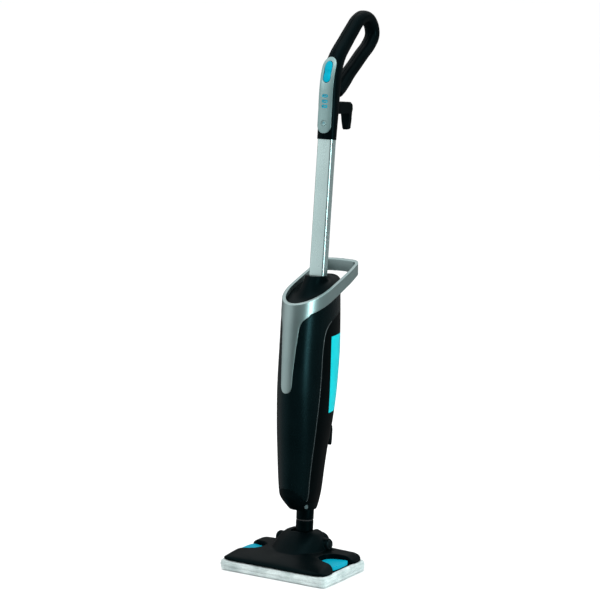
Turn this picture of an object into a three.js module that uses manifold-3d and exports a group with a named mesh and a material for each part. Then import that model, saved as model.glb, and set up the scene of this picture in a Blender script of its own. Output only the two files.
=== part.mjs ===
// Upright steam mop, built as an assembly of separate pieces.
// Millimetres, +Z up, +X across the head, the front of the mop faces -Y.
// The origin is the centre of the underside of the mop pad, on the floor.
import * as THREE from 'three';
import { mergeVertices } from 'three/addons/utils/BufferGeometryUtils.js';
import Module from 'manifold-3d';

const wasm = await Module();
wasm.setup();

// ---------- driving dimensions ----------
const GAP = 0.3;                       // clearance between neighbouring pieces
const HEAD_W = 276;                    // mop pad, across
const HEAD_D = 174;                    // mop pad, front to back
const PAD_H = 24;                      // height of the pad's side wall
const PAD_FLOOR = 9;                   // pile and backing under the sole plate
const PIVOT = [0, 46, 58];             // pitch axis of the neck
const NECK_TILT = THREE.MathUtils.degToRad(5);
const NECK_R = 19.5;
const BODY_BOTTOM = 131;               // lower face of the body's end cap, on the neck's axis
const SHELL_T = 3;                     // casing wall
const TUBE_W = 38, TUBE_D = 21, TUBE_T = 1.5;
const TUBE_LOW = [0, 103, 640], TUBE_TOP = [0, 139.5, 951];
const RING_T = 7.5;                    // wall of the carry ring
const TANK_Z = [349, 518];             // water tank, bottom and top
const TANK_Y = [64, 73];               // its front edge, at the bottom and top
const TANK_T = 2.4;                    // its wall
const HOUSING_W = 44;                  // handle housing across
const GRIP_W = 33;                     // finger loop across

// ---------- helpers ----------
const root = new THREE.Group();
root.name = 'steam_mop';

const FINISH = {
  black: [0x14181b, 0.42, 0.0], dark: [0x1d2225, 0.6, 0.0], silver: [0xb9bfbf, 0.35, 0.6],
  aluminium: [0xc3cac7, 0.3, 0.9], cyan: [0x12cfe6, 0.25, 0.0], steel: [0x9a9c9d, 0.3, 1.0],
  pad: [0xeef2f1, 0.95, 0.0], rubber: [0x202224, 0.8, 0.0], brass: [0xb08d4a, 0.35, 1.0],
  white: [0xd8dad8, 0.5, 0.0], green: [0x1c5a36, 0.6, 0.0], cast: [0x8b8e90, 0.5, 0.9],
};

function add(name, geometry, finish) {
  const [color, roughness, metalness] = FINISH[finish];
  const mesh = new THREE.Mesh(geometry, new THREE.MeshStandardMaterial({ color, roughness, metalness }));
  mesh.name = name;
  root.add(mesh);
  return mesh;
}

// A closed geometry as a solid, and a solid as a geometry.
function solid(geometry) {
  const g = geometry.clone();
  for (const k of Object.keys(g.attributes)) if (k !== 'position') g.deleteAttribute(k);
  const m = mergeVertices(g, 1e-4);
  const idx = m.index.array;
  const tri = [];
  for (let i = 0; i < idx.length; i += 3) {
    if (idx[i] !== idx[i + 1] && idx[i + 1] !== idx[i + 2] && idx[i] !== idx[i + 2]) tri.push(idx[i], idx[i + 1], idx[i + 2]);
  }
  return new wasm.Manifold(new wasm.Mesh({
    numProp: 3,
    vertProperties: new Float32Array(m.attributes.position.array),
    triVerts: new Uint32Array(tri),
  }));
}
function geo(man) {
  const mesh = man.getMesh();
  const g = new THREE.BufferGeometry();
  g.setAttribute('position', new THREE.BufferAttribute(new Float32Array(mesh.vertProperties), 3));
  g.setIndex(new THREE.BufferAttribute(new Uint32Array(mesh.triVerts), 1));
  g.computeVertexNormals();
  return g;
}

// A smooth curve through a table of values, without overshoot.
function curve(xs, ys) {
  const n = xs.length;
  const m = xs.map((_, i) => {
    if (i === 0) return (ys[1] - ys[0]) / (xs[1] - xs[0]);
    if (i === n - 1) return (ys[n - 1] - ys[n - 2]) / (xs[n - 1] - xs[n - 2]);
    const d0 = (ys[i] - ys[i - 1]) / (xs[i] - xs[i - 1]);
    const d1 = (ys[i + 1] - ys[i]) / (xs[i + 1] - xs[i]);
    return d0 * d1 <= 0 ? 0 : (2 * d0 * d1) / (d0 + d1);
  });
  return (v) => {
    const x = Math.min(Math.max(v, xs[0]), xs[n - 1]);
    let i = 0;
    while (i < n - 2 && x > xs[i + 1]) i++;
    const h = xs[i + 1] - xs[i], t = (x - xs[i]) / h;
    return (2 * t ** 3 - 3 * t ** 2 + 1) * ys[i] + (t ** 3 - 2 * t ** 2 + t) * h * m[i]
      + (-2 * t ** 3 + 3 * t ** 2) * ys[i + 1] + (t ** 3 - t ** 2) * h * m[i + 1];
  };
}

// A closed solid through a stack of rings with the same number of points.
function loft(rings) {
  const n = rings[0].length, k = rings.length;
  const pos = [];
  for (const r of rings) for (const p of r) pos.push(p[0], p[1], p[2]);
  const centre = (r) => r.reduce((a, p) => [a[0] + p[0] / n, a[1] + p[1] / n, a[2] + p[2] / n], [0, 0, 0]);
  pos.push(...centre(rings[0]), ...centre(rings[k - 1]));
  const idx = [];
  for (let i = 0; i < k - 1; i++) {
    for (let j = 0; j < n; j++) {
      const a = i * n + j, b = i * n + (j + 1) % n, c = b + n, d = a + n;
      idx.push(a, b, c, a, c, d);
    }
  }
  const c0 = k * n, c1 = c0 + 1;
  for (let j = 0; j < n; j++) {
    idx.push(c0, (j + 1) % n, j);
    idx.push(c1, (k - 1) * n + j, (k - 1) * n + (j + 1) % n);
  }
  let vol = 0;
  const P = (i) => new THREE.Vector3(pos[3 * i], pos[3 * i + 1], pos[3 * i + 2]);
  for (let i = 0; i < idx.length; i += 3) vol += P(idx[i]).dot(P(idx[i + 1]).cross(P(idx[i + 2])));
  if (vol < 0) for (let i = 0; i < idx.length; i += 3) [idx[i + 1], idx[i + 2]] = [idx[i + 2], idx[i + 1]];
  const g = new THREE.BufferGeometry();
  g.setAttribute('position', new THREE.Float32BufferAttribute(pos, 3));
  g.setIndex(idx);
  return solid(g);
}

// Prisms: an outline swept straight along one axis.
function outlineShape(pts) {
  const s = new THREE.Shape();
  s.moveTo(pts[0][0], pts[0][1]);
  for (const p of pts.slice(1)) s.lineTo(p[0], p[1]);
  s.closePath();
  return s;
}
function extrude(shape, depth, bevel = 0, seg = 1, curveSegments = 8) {
  const g = new THREE.ExtrudeGeometry(shape, {
    depth: depth - 2 * bevel, bevelEnabled: bevel > 0, bevelThickness: bevel, bevelSize: bevel,
    bevelOffset: -bevel, bevelSegments: seg, curveSegments,
  });
  g.translate(0, 0, bevel);
  return g;
}
const prismZ = (pts, z0, z1, bevel = 0, seg = 1) => solid(extrude(outlineShape(pts), z1 - z0, bevel, seg).translate(0, 0, z0));
// outline in (y, z), swept along x
const AX = new THREE.Matrix4().set(0, 0, 1, 0, 1, 0, 0, 0, 0, 1, 0, 0, 0, 0, 0, 1);
const prismX = (pts, x0, x1, bevel = 0, seg = 1) => solid(extrude(outlineShape(pts), x1 - x0, bevel, seg).translate(0, 0, x0).applyMatrix4(AX));
// outline in (x, z), swept along y
const AY = new THREE.Matrix4().set(1, 0, 0, 0, 0, 0, -1, 0, 0, 1, 0, 0, 0, 0, 0, 1);
const prismY = (pts, y0, y1, bevel = 0, seg = 1) => solid(extrude(outlineShape(pts), y1 - y0, bevel, seg).translate(0, 0, -y1).applyMatrix4(AY));

const box = (x0, x1, y0, y1, z0, z1) => solid(new THREE.BoxGeometry(x1 - x0, y1 - y0, z1 - z0).translate((x0 + x1) / 2, (y0 + y1) / 2, (z0 + z1) / 2));

// A turned piece: profile of [radius, height] pairs, turned about an axis from p along dir.
function turned(profile, p, dir, n = 20) {
  const pts = profile.map(([r, h]) => new THREE.Vector2(r, h));
  const g = new THREE.LatheGeometry(pts, n);
  const q = new THREE.Quaternion().setFromUnitVectors(new THREE.Vector3(0, 1, 0), new THREE.Vector3(...dir).normalize());
  g.applyQuaternion(q);
  g.translate(...p);
  let s = solid(g);
  if (s.volume() < 0) {
    const idx = g.index.array;
    for (let i = 0; i < idx.length; i += 3) [idx[i + 1], idx[i + 2]] = [idx[i + 2], idx[i + 1]];
    s = solid(g);
  }
  return s;
}
const rod = (r, p, dir, length, n = 20) => turned([[0, 0], [r, 0], [r, length], [0, length]], p, dir, n);
const tubeRing = (r0, r1, p, dir, length, n = 20) => turned([[r0, 0], [r1, 0], [r1, length], [r0, length], [r0, 0]], p, dir, n);

function roundRect(w, d, r, seg = 3, cx = 0, cy = 0) {
  const pts = [];
  for (let q = 0; q < 4; q++) {
    const sx = q === 0 || q === 3 ? 1 : -1, sy = q < 2 ? 1 : -1;
    for (let i = 0; i <= seg; i++) {
      const a = (q + i / seg) * Math.PI / 2;
      pts.push([cx + sx * (w / 2 - r) + r * Math.cos(a), cy + sy * (d / 2 - r) + r * Math.sin(a)]);
    }
  }
  return pts;
}
const atZ = (pts, z) => pts.map((p) => [p[0], p[1], z]);

// A hose: a round section carried along a smooth path.
function hose(points, r, sides = 8, steps = 14) {
  const path = new THREE.CatmullRomCurve3(points.map((p) => new THREE.Vector3(...p)));
  const s = new THREE.Shape();
  for (let i = 0; i < sides; i++) {
    const a = (i / sides) * Math.PI * 2;
    if (i === 0) s.moveTo(r * Math.cos(a), r * Math.sin(a)); else s.lineTo(r * Math.cos(a), r * Math.sin(a));
  }
  s.closePath();
  return new THREE.ExtrudeGeometry(s, { steps, extrudePath: path, bevelEnabled: false });
}

// ---------- mop head ----------
const neckDir = [0, Math.sin(NECK_TILT), Math.cos(NECK_TILT)];
const alongNeck = (d, off = [0, 0, 0]) => [PIVOT[0] + off[0], PIVOT[1] + neckDir[1] * d + off[1], PIVOT[2] + neckDir[2] * d + off[2]];

// Microfibre pad: a shallow tray with a rounded rim that wraps the sole plate.
{
  const rings = [
    atZ(roundRect(HEAD_W - 10, HEAD_D - 10, 9), 0),
    atZ(roundRect(HEAD_W - 3, HEAD_D - 3, 11), 2.5),
    atZ(roundRect(HEAD_W, HEAD_D, 12), 8),
    atZ(roundRect(HEAD_W - 1, HEAD_D - 1, 12), 12),
    atZ(roundRect(HEAD_W - 4, HEAD_D - 4, 11), 22),
    atZ(roundRect(HEAD_W - 9, HEAD_D - 9, 9), PAD_H),
  ];
  add('mop_pad', geo(loft(rings).subtract(prismZ(roundRect(256, 154, 8), PAD_FLOOR, 40))), 'pad');
}

const SCREWS = [[-58, -58], [58, -58], [-58, 68], [58, 68]];
// Sole plate with a steam slot, under the cover.
{
  let plate = prismZ(roundRect(254, 152, 7.5), PAD_FLOOR + GAP, 21.5, 1.2)
    .subtract(rod(4, [0, 0, 5], [0, 0, 1], 30, 10))
    .subtract(prismZ(roundRect(190, 4, 1.9, 3), 5, 13.5));
  for (const [x, y] of SCREWS) plate = plate.subtract(turned([[0, 0], [3.8, 0], [3.8, 7], [1.9, 7], [1.9, 30], [0, 30]], [x, y, 5.5], [0, 0, 1], 10));
  add('sole_plate', geo(plate), 'dark');
}

const COVER_Z = PAD_H + GAP;             // underside of the cover

const HINGE_X = 80.5;                   // clamp hinge, from the middle
const clampOutline = [[77, -9], [84, -18.5], [96, -24], [107, -27], [116, -30], [122.5, -32.5], [126, -27], [128, -10], [128, 13], [126, 27],
  [121, 30.5], [112, 29.3], [100, 27], [89, 23], [80, 15], [77, 6]];

const notchOutline = [[77, -9], [84, -18.5], [96, -24], [108, -27.5], [120, -31.5], [129, -36.5], [140, -37], [140, 33.5],
  [126, 32.5], [114, 29.8], [100, 27], [89, 23], [80, 15], [77, 6]];

// Head cover: a low slab with a notch at each end, a crown and a domed hinge housing.
const COVER_OUT = (() => {
  // right half of the outline, front to back, then mirrored
  const r = [[0, -87], [60, -86.8], [104, -86], [121, -83.5], [131, -76], [135, -62], [134, -48], [129, -38], [118, -31], [103, -27],
    [88, -22], [78, -12], [74.5, 2], [78, 16], [88, 26], [100, 30.5], [116, 33], [127, 36], [133, 43], [135, 54], [133.5, 68], [126, 78], [112, 82], [60, 84], [0, 85]];
  return r.concat(r.slice(1, -1).reverse().map(([x, y]) => [-x, y]));
})();
// The crown rises from the lip towards the dome in smooth steps.
function coverCrown() {
  const nx = 14;
  const prof = (x) => {                   // top height over the outline, by distance from the middle
    const a = Math.abs(x);
    return [
      [-86.5, 27.5], [-84, 32], [-76, 36 - 0.01 * a], [-58, 40 - 0.018 * a], [-34, 44 - 0.03 * a],
      [-12, 49 - 0.055 * a], [10, 50 - 0.07 * a], [34, 50 - 0.06 * a], [56, 48.5 - 0.045 * a], [70, 45 - 0.03 * a], [79, 38 - 0.01 * a], [83.5, 30]];
  };
  const rings = [];
  for (let i = 0; i <= nx; i++) {
    const x = -136 + (272 * i) / nx;
    const end = Math.max(0, (Math.abs(x) - 112) / 24);
    const drop = 1 - Math.pow(end, 2.4);
    const p = prof(x).map(([y, z]) => [x, y, COVER_Z + (z - COVER_Z) * Math.max(0.14, drop)]);
    rings.push([[x, -86.5, COVER_Z], ...p, [x, 83.5, COVER_Z]]);
  }
  return loft(rings);
}
const DOME = [[44, 66, 41], [54, 62.5, 39], [64, 56.5, 37], [72, 49.5, 34], [78, 42.5, 30], [82, 33, 24]];
const CHEEKS = [[44, 66, 20, 51], [54, 64, 19, 53], [61, 61, 18.5, 55], [67, 57, 17.5, 58], [72, 52, 15.5, 60], [75.5, 46, 12, 61], [77, 41, 9, 61.5]];
const domeRing = (z, w, d, cy) => {
  const pts = [];
  for (let i = 0; i < 24; i++) {
    const t = (i / 24) * Math.PI * 2, cx = Math.cos(t), sy = Math.sin(t);
    // the front of the dome is drawn out into a saddle
    const front = sy < 0 ? 1 + 0.9 * Math.max(0, (78 - z) / 34) : 1;
    pts.push([w * Math.sign(cx) * Math.pow(Math.abs(cx), 0.86), cy + d * front * Math.sign(sy) * Math.pow(Math.abs(sy), 0.92), z]);
  }
  return pts;
};
let cover;
{
  const low = prismZ(COVER_OUT, 20, 60);
  const crown = coverCrown().intersect(low);
  const dome = loft(DOME.map(([z, w, d]) => domeRing(z, w, d, 46)));
  // cheeks that carry the axle, highest behind the neck
  const cheeks = loft(CHEEKS.map(([z, w, d, cy]) => domeRing(z, w, d, cy)).map((r) => r.map(([x, y, z]) => [x, y, z])));
  const boss = rod(14, [-65.5, PIVOT[1] + 1, PIVOT[2] - 2], [1, 0, 0], 131, 20);
  cover = crown.add(dome.add(cheeks).intersect(box(-140, 140, -86, 84, 30, 90))).add(boss);
  // room inside for the plate's hardware, and for the knuckle to swing
  cover = cover.subtract(box(-72, 72, -76, -48, 10, 33)).subtract(box(-72, 72, -48, 74, 10, 37));
  for (const s of [-1, 1]) for (const [y0, y1] of [[-74, -42], [44, 74]]) cover = cover.subtract(box(Math.min(s * 90, s * 122), Math.max(s * 90, s * 122), y0, y1, 10, 30));
  for (const [x, y] of SCREWS) cover = cover.add(rod(4.6, [x, y, COVER_Z], [0, 0, 1], y > 0 ? 14.5 : 10.5, 12));
  cover = cover.subtract(rod(23, [-23, PIVOT[1], PIVOT[2]], [1, 0, 0], 46, 20));
  // slot for the neck, from upright back to lying almost flat
  const slot = prismX([[24, 58], [24, 95], [140, 95], [140, 44.5], [90, 44], [70, 41.3], [57, 38], [46, 34.5]], -21, 21);
  cover = cover.subtract(slot);
  cover = cover.subtract(rod(5.6, [-90, PIVOT[1], PIVOT[2]], [1, 0, 0], 180, 10));
  for (const [x, y] of SCREWS) cover = cover.subtract(rod(1.8, [x, y, 20], [0, 0, 1], 13, 10));
  for (const s of [-1, 1]) {
    // room for the clamp to swing up, bores for its pin, and a seat for the axle cap
    cover = cover.subtract(prismZ(notchOutline.map(([x, y]) => [s * (x + (x < 80 ? -1.8 : 0.4)), y * 1.03 + Math.sign(y) * (x < 92 ? 2.6 : x < 106 ? 1.4 : 0.5)]), 20, 60));
    cover = cover.subtract(rod(6.2, [s * HINGE_X, -13.5, 29.5], [0, 1, 0], 26, 10));
    cover = cover.subtract(rod(2.3, [s * HINGE_X, -20, 29.5], [0, 1, 0], 43, 10));
    cover = cover.subtract(rod(12.2, [s * 65.5, PIVOT[1] + 1, PIVOT[2] - 2], [s, 0, 0], 14, 20));
  }
  add('head_cover', geo(cover), 'black');
}

// Pad clamps: sprung cyan flaps in the end notches, hinged on their inner edge.
for (const [side, name] of [[-1, 'left'], [1, 'right']]) {
  const pts = clampOutline.map(([x, y]) => [side * x, y]);
  let clamp = prismZ(pts, 25.5, 33.5, 1.5, 2);
  clamp = clamp.subtract(rod(2.3, [side * HINGE_X, -30, 29.5], [0, 1, 0], 60, 10));
  add(`pad_clamp_${name}`, geo(clamp), 'cyan');
  add(`clamp_pin_${name}`, geo(rod(2, [side * HINGE_X, -19.6, 29.5], [0, 1, 0], 42, 10)), 'steel');
}

// Hinge axle through the dome, with a cap on each end.
add('hinge_axle', geo(rod(5.3, [-64.5, PIVOT[1], PIVOT[2]], [1, 0, 0], 129, 20)), 'steel');
add('axle_cap_left', geo(turned([[0, 0], [11.5, 0], [11.5, 2.2], [9.5, 3.6], [0, 3.9]], [-65.8, PIVOT[1] + 1, PIVOT[2] - 2], [-1, 0, 0], 20)), 'dark');
add('axle_cap_right', geo(turned([[0, 0], [11.5, 0], [11.5, 2.2], [9.5, 3.6], [0, 3.9]], [65.8, PIVOT[1] + 1, PIVOT[2] - 2], [1, 0, 0], 20)), 'dark');

// Steam manifold on the sole plate, with its outlet nozzle.
add('steam_manifold', geo(box(-44, 44, -32, 12, 22, 32).add(rod(6, [0, 0, 21.8], [0, 0, 1], 4, 10)).subtract(rod(2.2, [0, 0, 15], [0, 0, 1], 14, 10))), 'white');
add('steam_nozzle', geo(turned([[1.2, 0], [3.4, 0], [3.4, 11.5], [1.2, 11.5], [1.2, 0]], [0, 0, 9.8], [0, 0, 1], 10)), 'brass');
for (const [i, [x, y]] of SCREWS.entries()) {
  add(`head_screw_${i + 1}`, geo(turned([[0, 0], [3.4, 0], [3.4, 1.8], [1.5, 2.4], [1.5, 20], [0, 20.8]], [x, y, PAD_FLOOR + 0.8], [0, 0, 1], 10)), 'steel');
}

// ---------- neck ----------
{
  const barrel = rod(20.5, [-20.5, PIVOT[1], PIVOT[2]], [1, 0, 0], 41, 20);
  const stem = turned([[0, 0], [NECK_R, 0], [NECK_R, 45], [0, 45]], alongNeck(0), neckDir, 20);
  const knuckle = barrel.add(stem)
    .subtract(rod(7.4, [-30, PIVOT[1], PIVOT[2]], [1, 0, 0], 60, 20))
    .subtract(rod(5, alongNeck(12), neckDir, 60, 10));
  add('neck_knuckle', geo(knuckle), 'black');
  add('hinge_bush_left', geo(tubeRing(5.6, 7.1, [-20.3, PIVOT[1], PIVOT[2]], [1, 0, 0], 18, 20)), 'white');
  add('hinge_bush_right', geo(tubeRing(5.6, 7.1, [2.3, PIVOT[1], PIVOT[2]], [1, 0, 0], 18, 20)), 'white');
  add('neck_seal', geo(tubeRing(5.4, NECK_R - 0.7, alongNeck(45.3), neckDir, 2.4, 20)), 'rubber');
  // swivel spigot that the body turns on
  add('swivel_spigot', geo(turned([[5, 0], [NECK_R, 0], [NECK_R, 24.7], [13.5, 24.7], [13.5, 37.5], [5, 37.5], [5, 0]], alongNeck(48), neckDir, 20)), 'black');
  add('swivel_retainer', geo(tubeRing(13.8, 17.5, alongNeck(83.2), neckDir, 2, 20)), 'steel');
}

// ---------- body ----------
const BODY = [ // height, front, rear, half width
  [126, 13, 74, 26.4], [137, 4, 80.5, 30.4], [150, -9.5, 85, 34.8], [163, -21, 88.5, 38.6], [172, -26, 90.5, 40.6], [193, -27.8, 94.2, 43],
  [215, -28, 97.6, 45], [258, -28.2, 107, 48.2], [324, -29.2, 128.9, 52.6], [389, -28.6, 145.8, 54.6], [432, -26, 153, 55],
  [475, -21.6, 158.8, 55], [503, -18.3, 160.2, 54.9], [546, -12.8, 160, 54.9], [610, -4, 159.4, 54.3], [700, 8, 159, 53]];
const col = (t, k) => t.map((r) => r[k]);
const bodyFront = curve(col(BODY, 0), col(BODY, 1));
const bodyRear = curve(col(BODY, 0), col(BODY, 2));
const bodyHalf = curve(col(BODY, 0), col(BODY, 3));
function bodyRing(z, inset, n = 28) {
  const f = bodyFront(z) + inset, r = bodyRear(z) - inset, a = bodyHalf(z) - inset;
  const pts = [];
  for (let i = 0; i < n; i++) {
    const t = (i / n) * Math.PI * 2;
    pts.push([a * Math.cos(t), (f + r) / 2 + (r - f) / 2 * Math.sin(t), z]);
  }
  return pts;
}
function bodyLoft(inset, z0, z1, n = 28) {
  const levels = [137, 150, 163, 178, 215, 270, 340, 400, 460, 530, 610].filter((z) => z > z0 + 3 && z < z1 - 3);
  return loft([z0, ...levels, z1].map((z) => bodyRing(z, inset, n)));
}

const bandLow = (y) => 571.5 + (y - 8.6) * 0.365;     // lower edge of the ring
const bandTop = (y) => 600 + (y - 7) * 0.35;          // upper edge of the ring
const below = (f, d) => prismX([[-120, f(-120) + d], [-120, 60], [320, 60], [320, f(320) + d]], -120, 120);
const above = (f, d) => prismX([[-120, f(-120) + d], [320, f(320) + d], [320, 900], [-120, 900]], -120, 120);

// Ring of the bezel: the body's outline in front, drawn out behind into a carry handle.
function ringOutline(z, d) {
  const f = bodyFront(z) - 0.4 + d, r = bodyRear(z), a = bodyHalf(z) + 0.6 - d;
  const cy = (f + r) / 2, b = cy - f;
  const half = [];
  for (let i = 0; i <= 8; i++) {
    const t = -Math.PI / 2 + (i / 8) * Math.PI / 2;
    half.push([a * Math.cos(t), cy + b * Math.sin(t)]);
  }
  half.push([55 - d, 114], [54.2 - d, 152]);
  for (let i = 0; i <= 5; i++) {
    const t = (i / 5) * Math.PI / 2;
    half.push([28 + (23 - d) * Math.cos(t), 182 + (22.5 - d) * Math.sin(t)]);
  }
  half.push([0, 206 - d]);
  return half.concat(half.slice(1, -1).reverse().map(([x, y]) => [-x, y]));
}
const ringLoft = (d) => loft([530, 560, 590, 620, 700].map((z) => atZ(ringOutline(z, d), z)));
const ringBand = ringLoft(0).subtract(ringLoft(RING_T));

// Tongue of the bezel, running down the front of the body.
const TONGUE = (() => {
  const right = [[42, 585], [36.3, 570.1], [26.4, 561.1], [22.4, 552.6], [20.4, 541], [19.2, 520], [17.6, 498.7], [15.6, 466], [14.4, 444], [13.6, 422], [11.5, 411], [6.5, 404.8]];
  return right.concat([[0, 402.7]], right.slice().reverse().map(([x, z]) => [-x, z]));
})();
const grown = (pts, d) => pts.map(([x, z]) => [x + Math.sign(x) * d, z - (Math.abs(x) < 20 && z < 430 ? d : 0.0)]);
{
  let ring = ringBand.intersect(below(bandTop, 0)).intersect(above(bandLow, 0));
  const tongue = bodyLoft(0, 380, 640).subtract(bodyLoft(1.9, 370, 650)).intersect(prismY(TONGUE.slice().reverse(), -80, 40)).intersect(below(bandLow, 8));
  ring = ring.add(tongue);
  add('silver_bezel', geo(ring), 'silver');
}

// Seam between the front and rear casings, seen from the side: [y, z].
const SEAM = [[9, 130], [9, 158], [8, 200], [12, 250], [18.5, 304], [25, 352], [31, 394], [37, 440], [41.5, 482], [46, 508], [50.5, 525], [58, 538.5], [68, 548], [84, 555.5], [110, 565], [155, 580], [210, 600]];
const seamShift = (d) => SEAM.map(([y, z], i) => {
  const a = SEAM[Math.max(0, i - 1)], b = SEAM[Math.min(SEAM.length - 1, i + 1)];
  const l = Math.hypot(b[0] - a[0], b[1] - a[1]);
  return [y - d * (b[1] - a[1]) / l, z + d * (b[0] - a[0]) / l];
});
const frontRegion = prismX([...seamShift(GAP / 2), [210, 760], [-120, 760], [-120, 130]].reverse(), -90, 90);
const rearRegion = prismX([...seamShift(-GAP / 2), [320, 600], [320, 130]], -90, 90);

// Edge of the lower end cap, seen from the side.
const BOOT = [[-120, 202], [-36, 191], [-24, 187], [-14, 176], [-3, 165], [6, 158], [28, 152.5], [60, 150], [200, 150]];
const bootRegion = prismX([...BOOT.map(([y, z]) => [y, z - GAP / 2]), [200, 60], [-120, 60]].reverse(), -90, 90);
const overBoot = prismX([...BOOT.map(([y, z]) => [y, z + GAP / 2]), [200, 900], [-120, 900]], -90, 90);

// The end cap's lower face is square to the neck it turns on.
const capFloor = (y) => BODY_BOTTOM - (y - 52.5) * Math.tan(NECK_TILT);
const hollow = bodyLoft(0, BODY_BOTTOM - 4, 690).subtract(bodyLoft(SHELL_T, BODY_BOTTOM + 7.5, 695));
{
  let boot = bodyLoft(0.1, BODY_BOTTOM - 5, 300).subtract(bodyLoft(SHELL_T, BODY_BOTTOM + 7.5, 305)).intersect(bootRegion).intersect(above(capFloor, 0));
  boot = boot.subtract(rod(14, alongNeck(50), neckDir, 60, 20));
  boot = boot.subtract(rod(5.4, [15, 17, 144], [1, -0.2, 0], 20, 10));
  add('lower_end_cap', geo(boot), 'black');
  add('end_cap_plug', geo(rod(5, [24.8, 17 - 1.96, 144], [1, -0.2, 0], 3.6, 10)), 'cast');
}
{
  let front = hollow.intersect(frontRegion).intersect(overBoot).intersect(below(bandLow, -GAP));
  // recess for the tongue, with a thinner wall left under it
  const recess = bodyLoft(-1, 370, 650).subtract(bodyLoft(2.2, 360, 655)).intersect(prismY(grown(TONGUE, 0.35).reverse(), -80, 40));
  front = front.subtract(recess);
  add('front_shell', geo(front), 'black');
}

// Water tank in the rear of the body.
const tankPrism = (d) => prismX([[TANK_Y[0] - d, TANK_Z[0] - d], [240, TANK_Z[0] - d], [240, TANK_Z[1] + d], [TANK_Y[1] - d, TANK_Z[1] + d]], -120, 120);
const HOOK_SLOT = [12.3, 290.6, 308.4];
{
  let rear = hollow.intersect(rearRegion).intersect(overBoot).intersect(below(bandLow, -GAP));
  const pocket = tankPrism(3.2).intersect(bodyLoft(0, 300, 600)).intersect(rearRegion);
  rear = rear.add(pocket).subtract(tankPrism(0.5));
  rear = rear.subtract(rod(7.4, [0, 108, 330], [0, 0, 1], 30, 10));
  // openings for the latch, the lower hook and the cord inlet
  rear = rear.subtract(box(-11.35, 11.35, 130, 180, 527.65, 556.35));
  rear = rear.subtract(box(-HOOK_SLOT[0], HOOK_SLOT[0], 100, 150, HOOK_SLOT[1], HOOK_SLOT[2]));
  rear = rear.subtract(rod(7.9, [0, 80, 214], [0, 1, -0.25], 50, 20));
  add('rear_shell', geo(rear), 'black');
}
{
  let tank = bodyLoft(0, 300, 600).intersect(tankPrism(0));
  const inner = bodyLoft(TANK_T, 300, 600).intersect(tankPrism(-TANK_T));
  const boss = rod(17.5, [0, 112, TANK_Z[1] - 8.5], [0, 0, 1], 8, 20).add(rod(11, [0, 108, TANK_Z[0] + 0.5], [0, 0, 1], 8, 20));
  tank = tank.subtract(inner).add(boss);
  tank = tank.subtract(rod(15, [0, 112, TANK_Z[1] - 4.5], [0, 0, 1], 10, 20)).subtract(rod(11, [0, 112, TANK_Z[1] - 12], [0, 0, 1], 12, 20));
  tank = tank.subtract(rod(7.3, [0, 108, TANK_Z[0] - 1], [0, 0, 1], 12, 10));
  add('water_tank', geo(tank), 'cyan');
  add('tank_cap', geo(turned([[0, 0], [10.6, 0], [10.6, 5.2], [14.6, 5.2], [14.6, 8], [0, 8]], [0, 112, TANK_Z[1] - 9.2], [0, 0, 1], 20)
    .subtract(box(-9, 9, 110.5, 113.5, TANK_Z[1] - 3, TANK_Z[1] + 5))), 'dark');
  add('tank_valve', geo(turned([[0, 0], [7, 0], [7, 11], [3, 12.5], [0, 12.5]], [0, 108, TANK_Z[0] + 0.2], [0, 0, 1], 10)), 'dark');
  add('valve_seat', geo(turned([[2.5, 0], [7, 0], [7, 8.6], [2.5, 8.6], [2.5, 0]], [0, 108, TANK_Z[0] - 9.4], [0, 0, 1], 10)), 'rubber');
}
{
  // release button over the tank, flush with the rear casing
  const latch = bodyLoft(-0.6, 500, 580).subtract(bodyLoft(3.4, 490, 590)).intersect(box(-11, 11, 130, 190, 528, 556));
  add('tank_latch', geo(latch), 'dark');
}
{
  // lower cord hook: rooted in the casing, open downwards
  const hook = prismX([[110, 291], [131, 291], [133.2, 262], [135.4, 257.4], [139.4, 256.4], [142.6, 260], [146, 288], [145.6, 298], [141.5, 305], [134, 308], [110, 308]], -12, 12, 1.2, 1);
  add('lower_cord_hook', geo(hook), 'black');
  add('cord_inlet_gland', geo(turned([[3.6, 0], [7.6, 0], [7.6, 8], [6.4, 22], [3.6, 22], [3.6, 0]], [0, 89, 211.75], [0, 1, -0.25], 20)), 'rubber');
}

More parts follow.
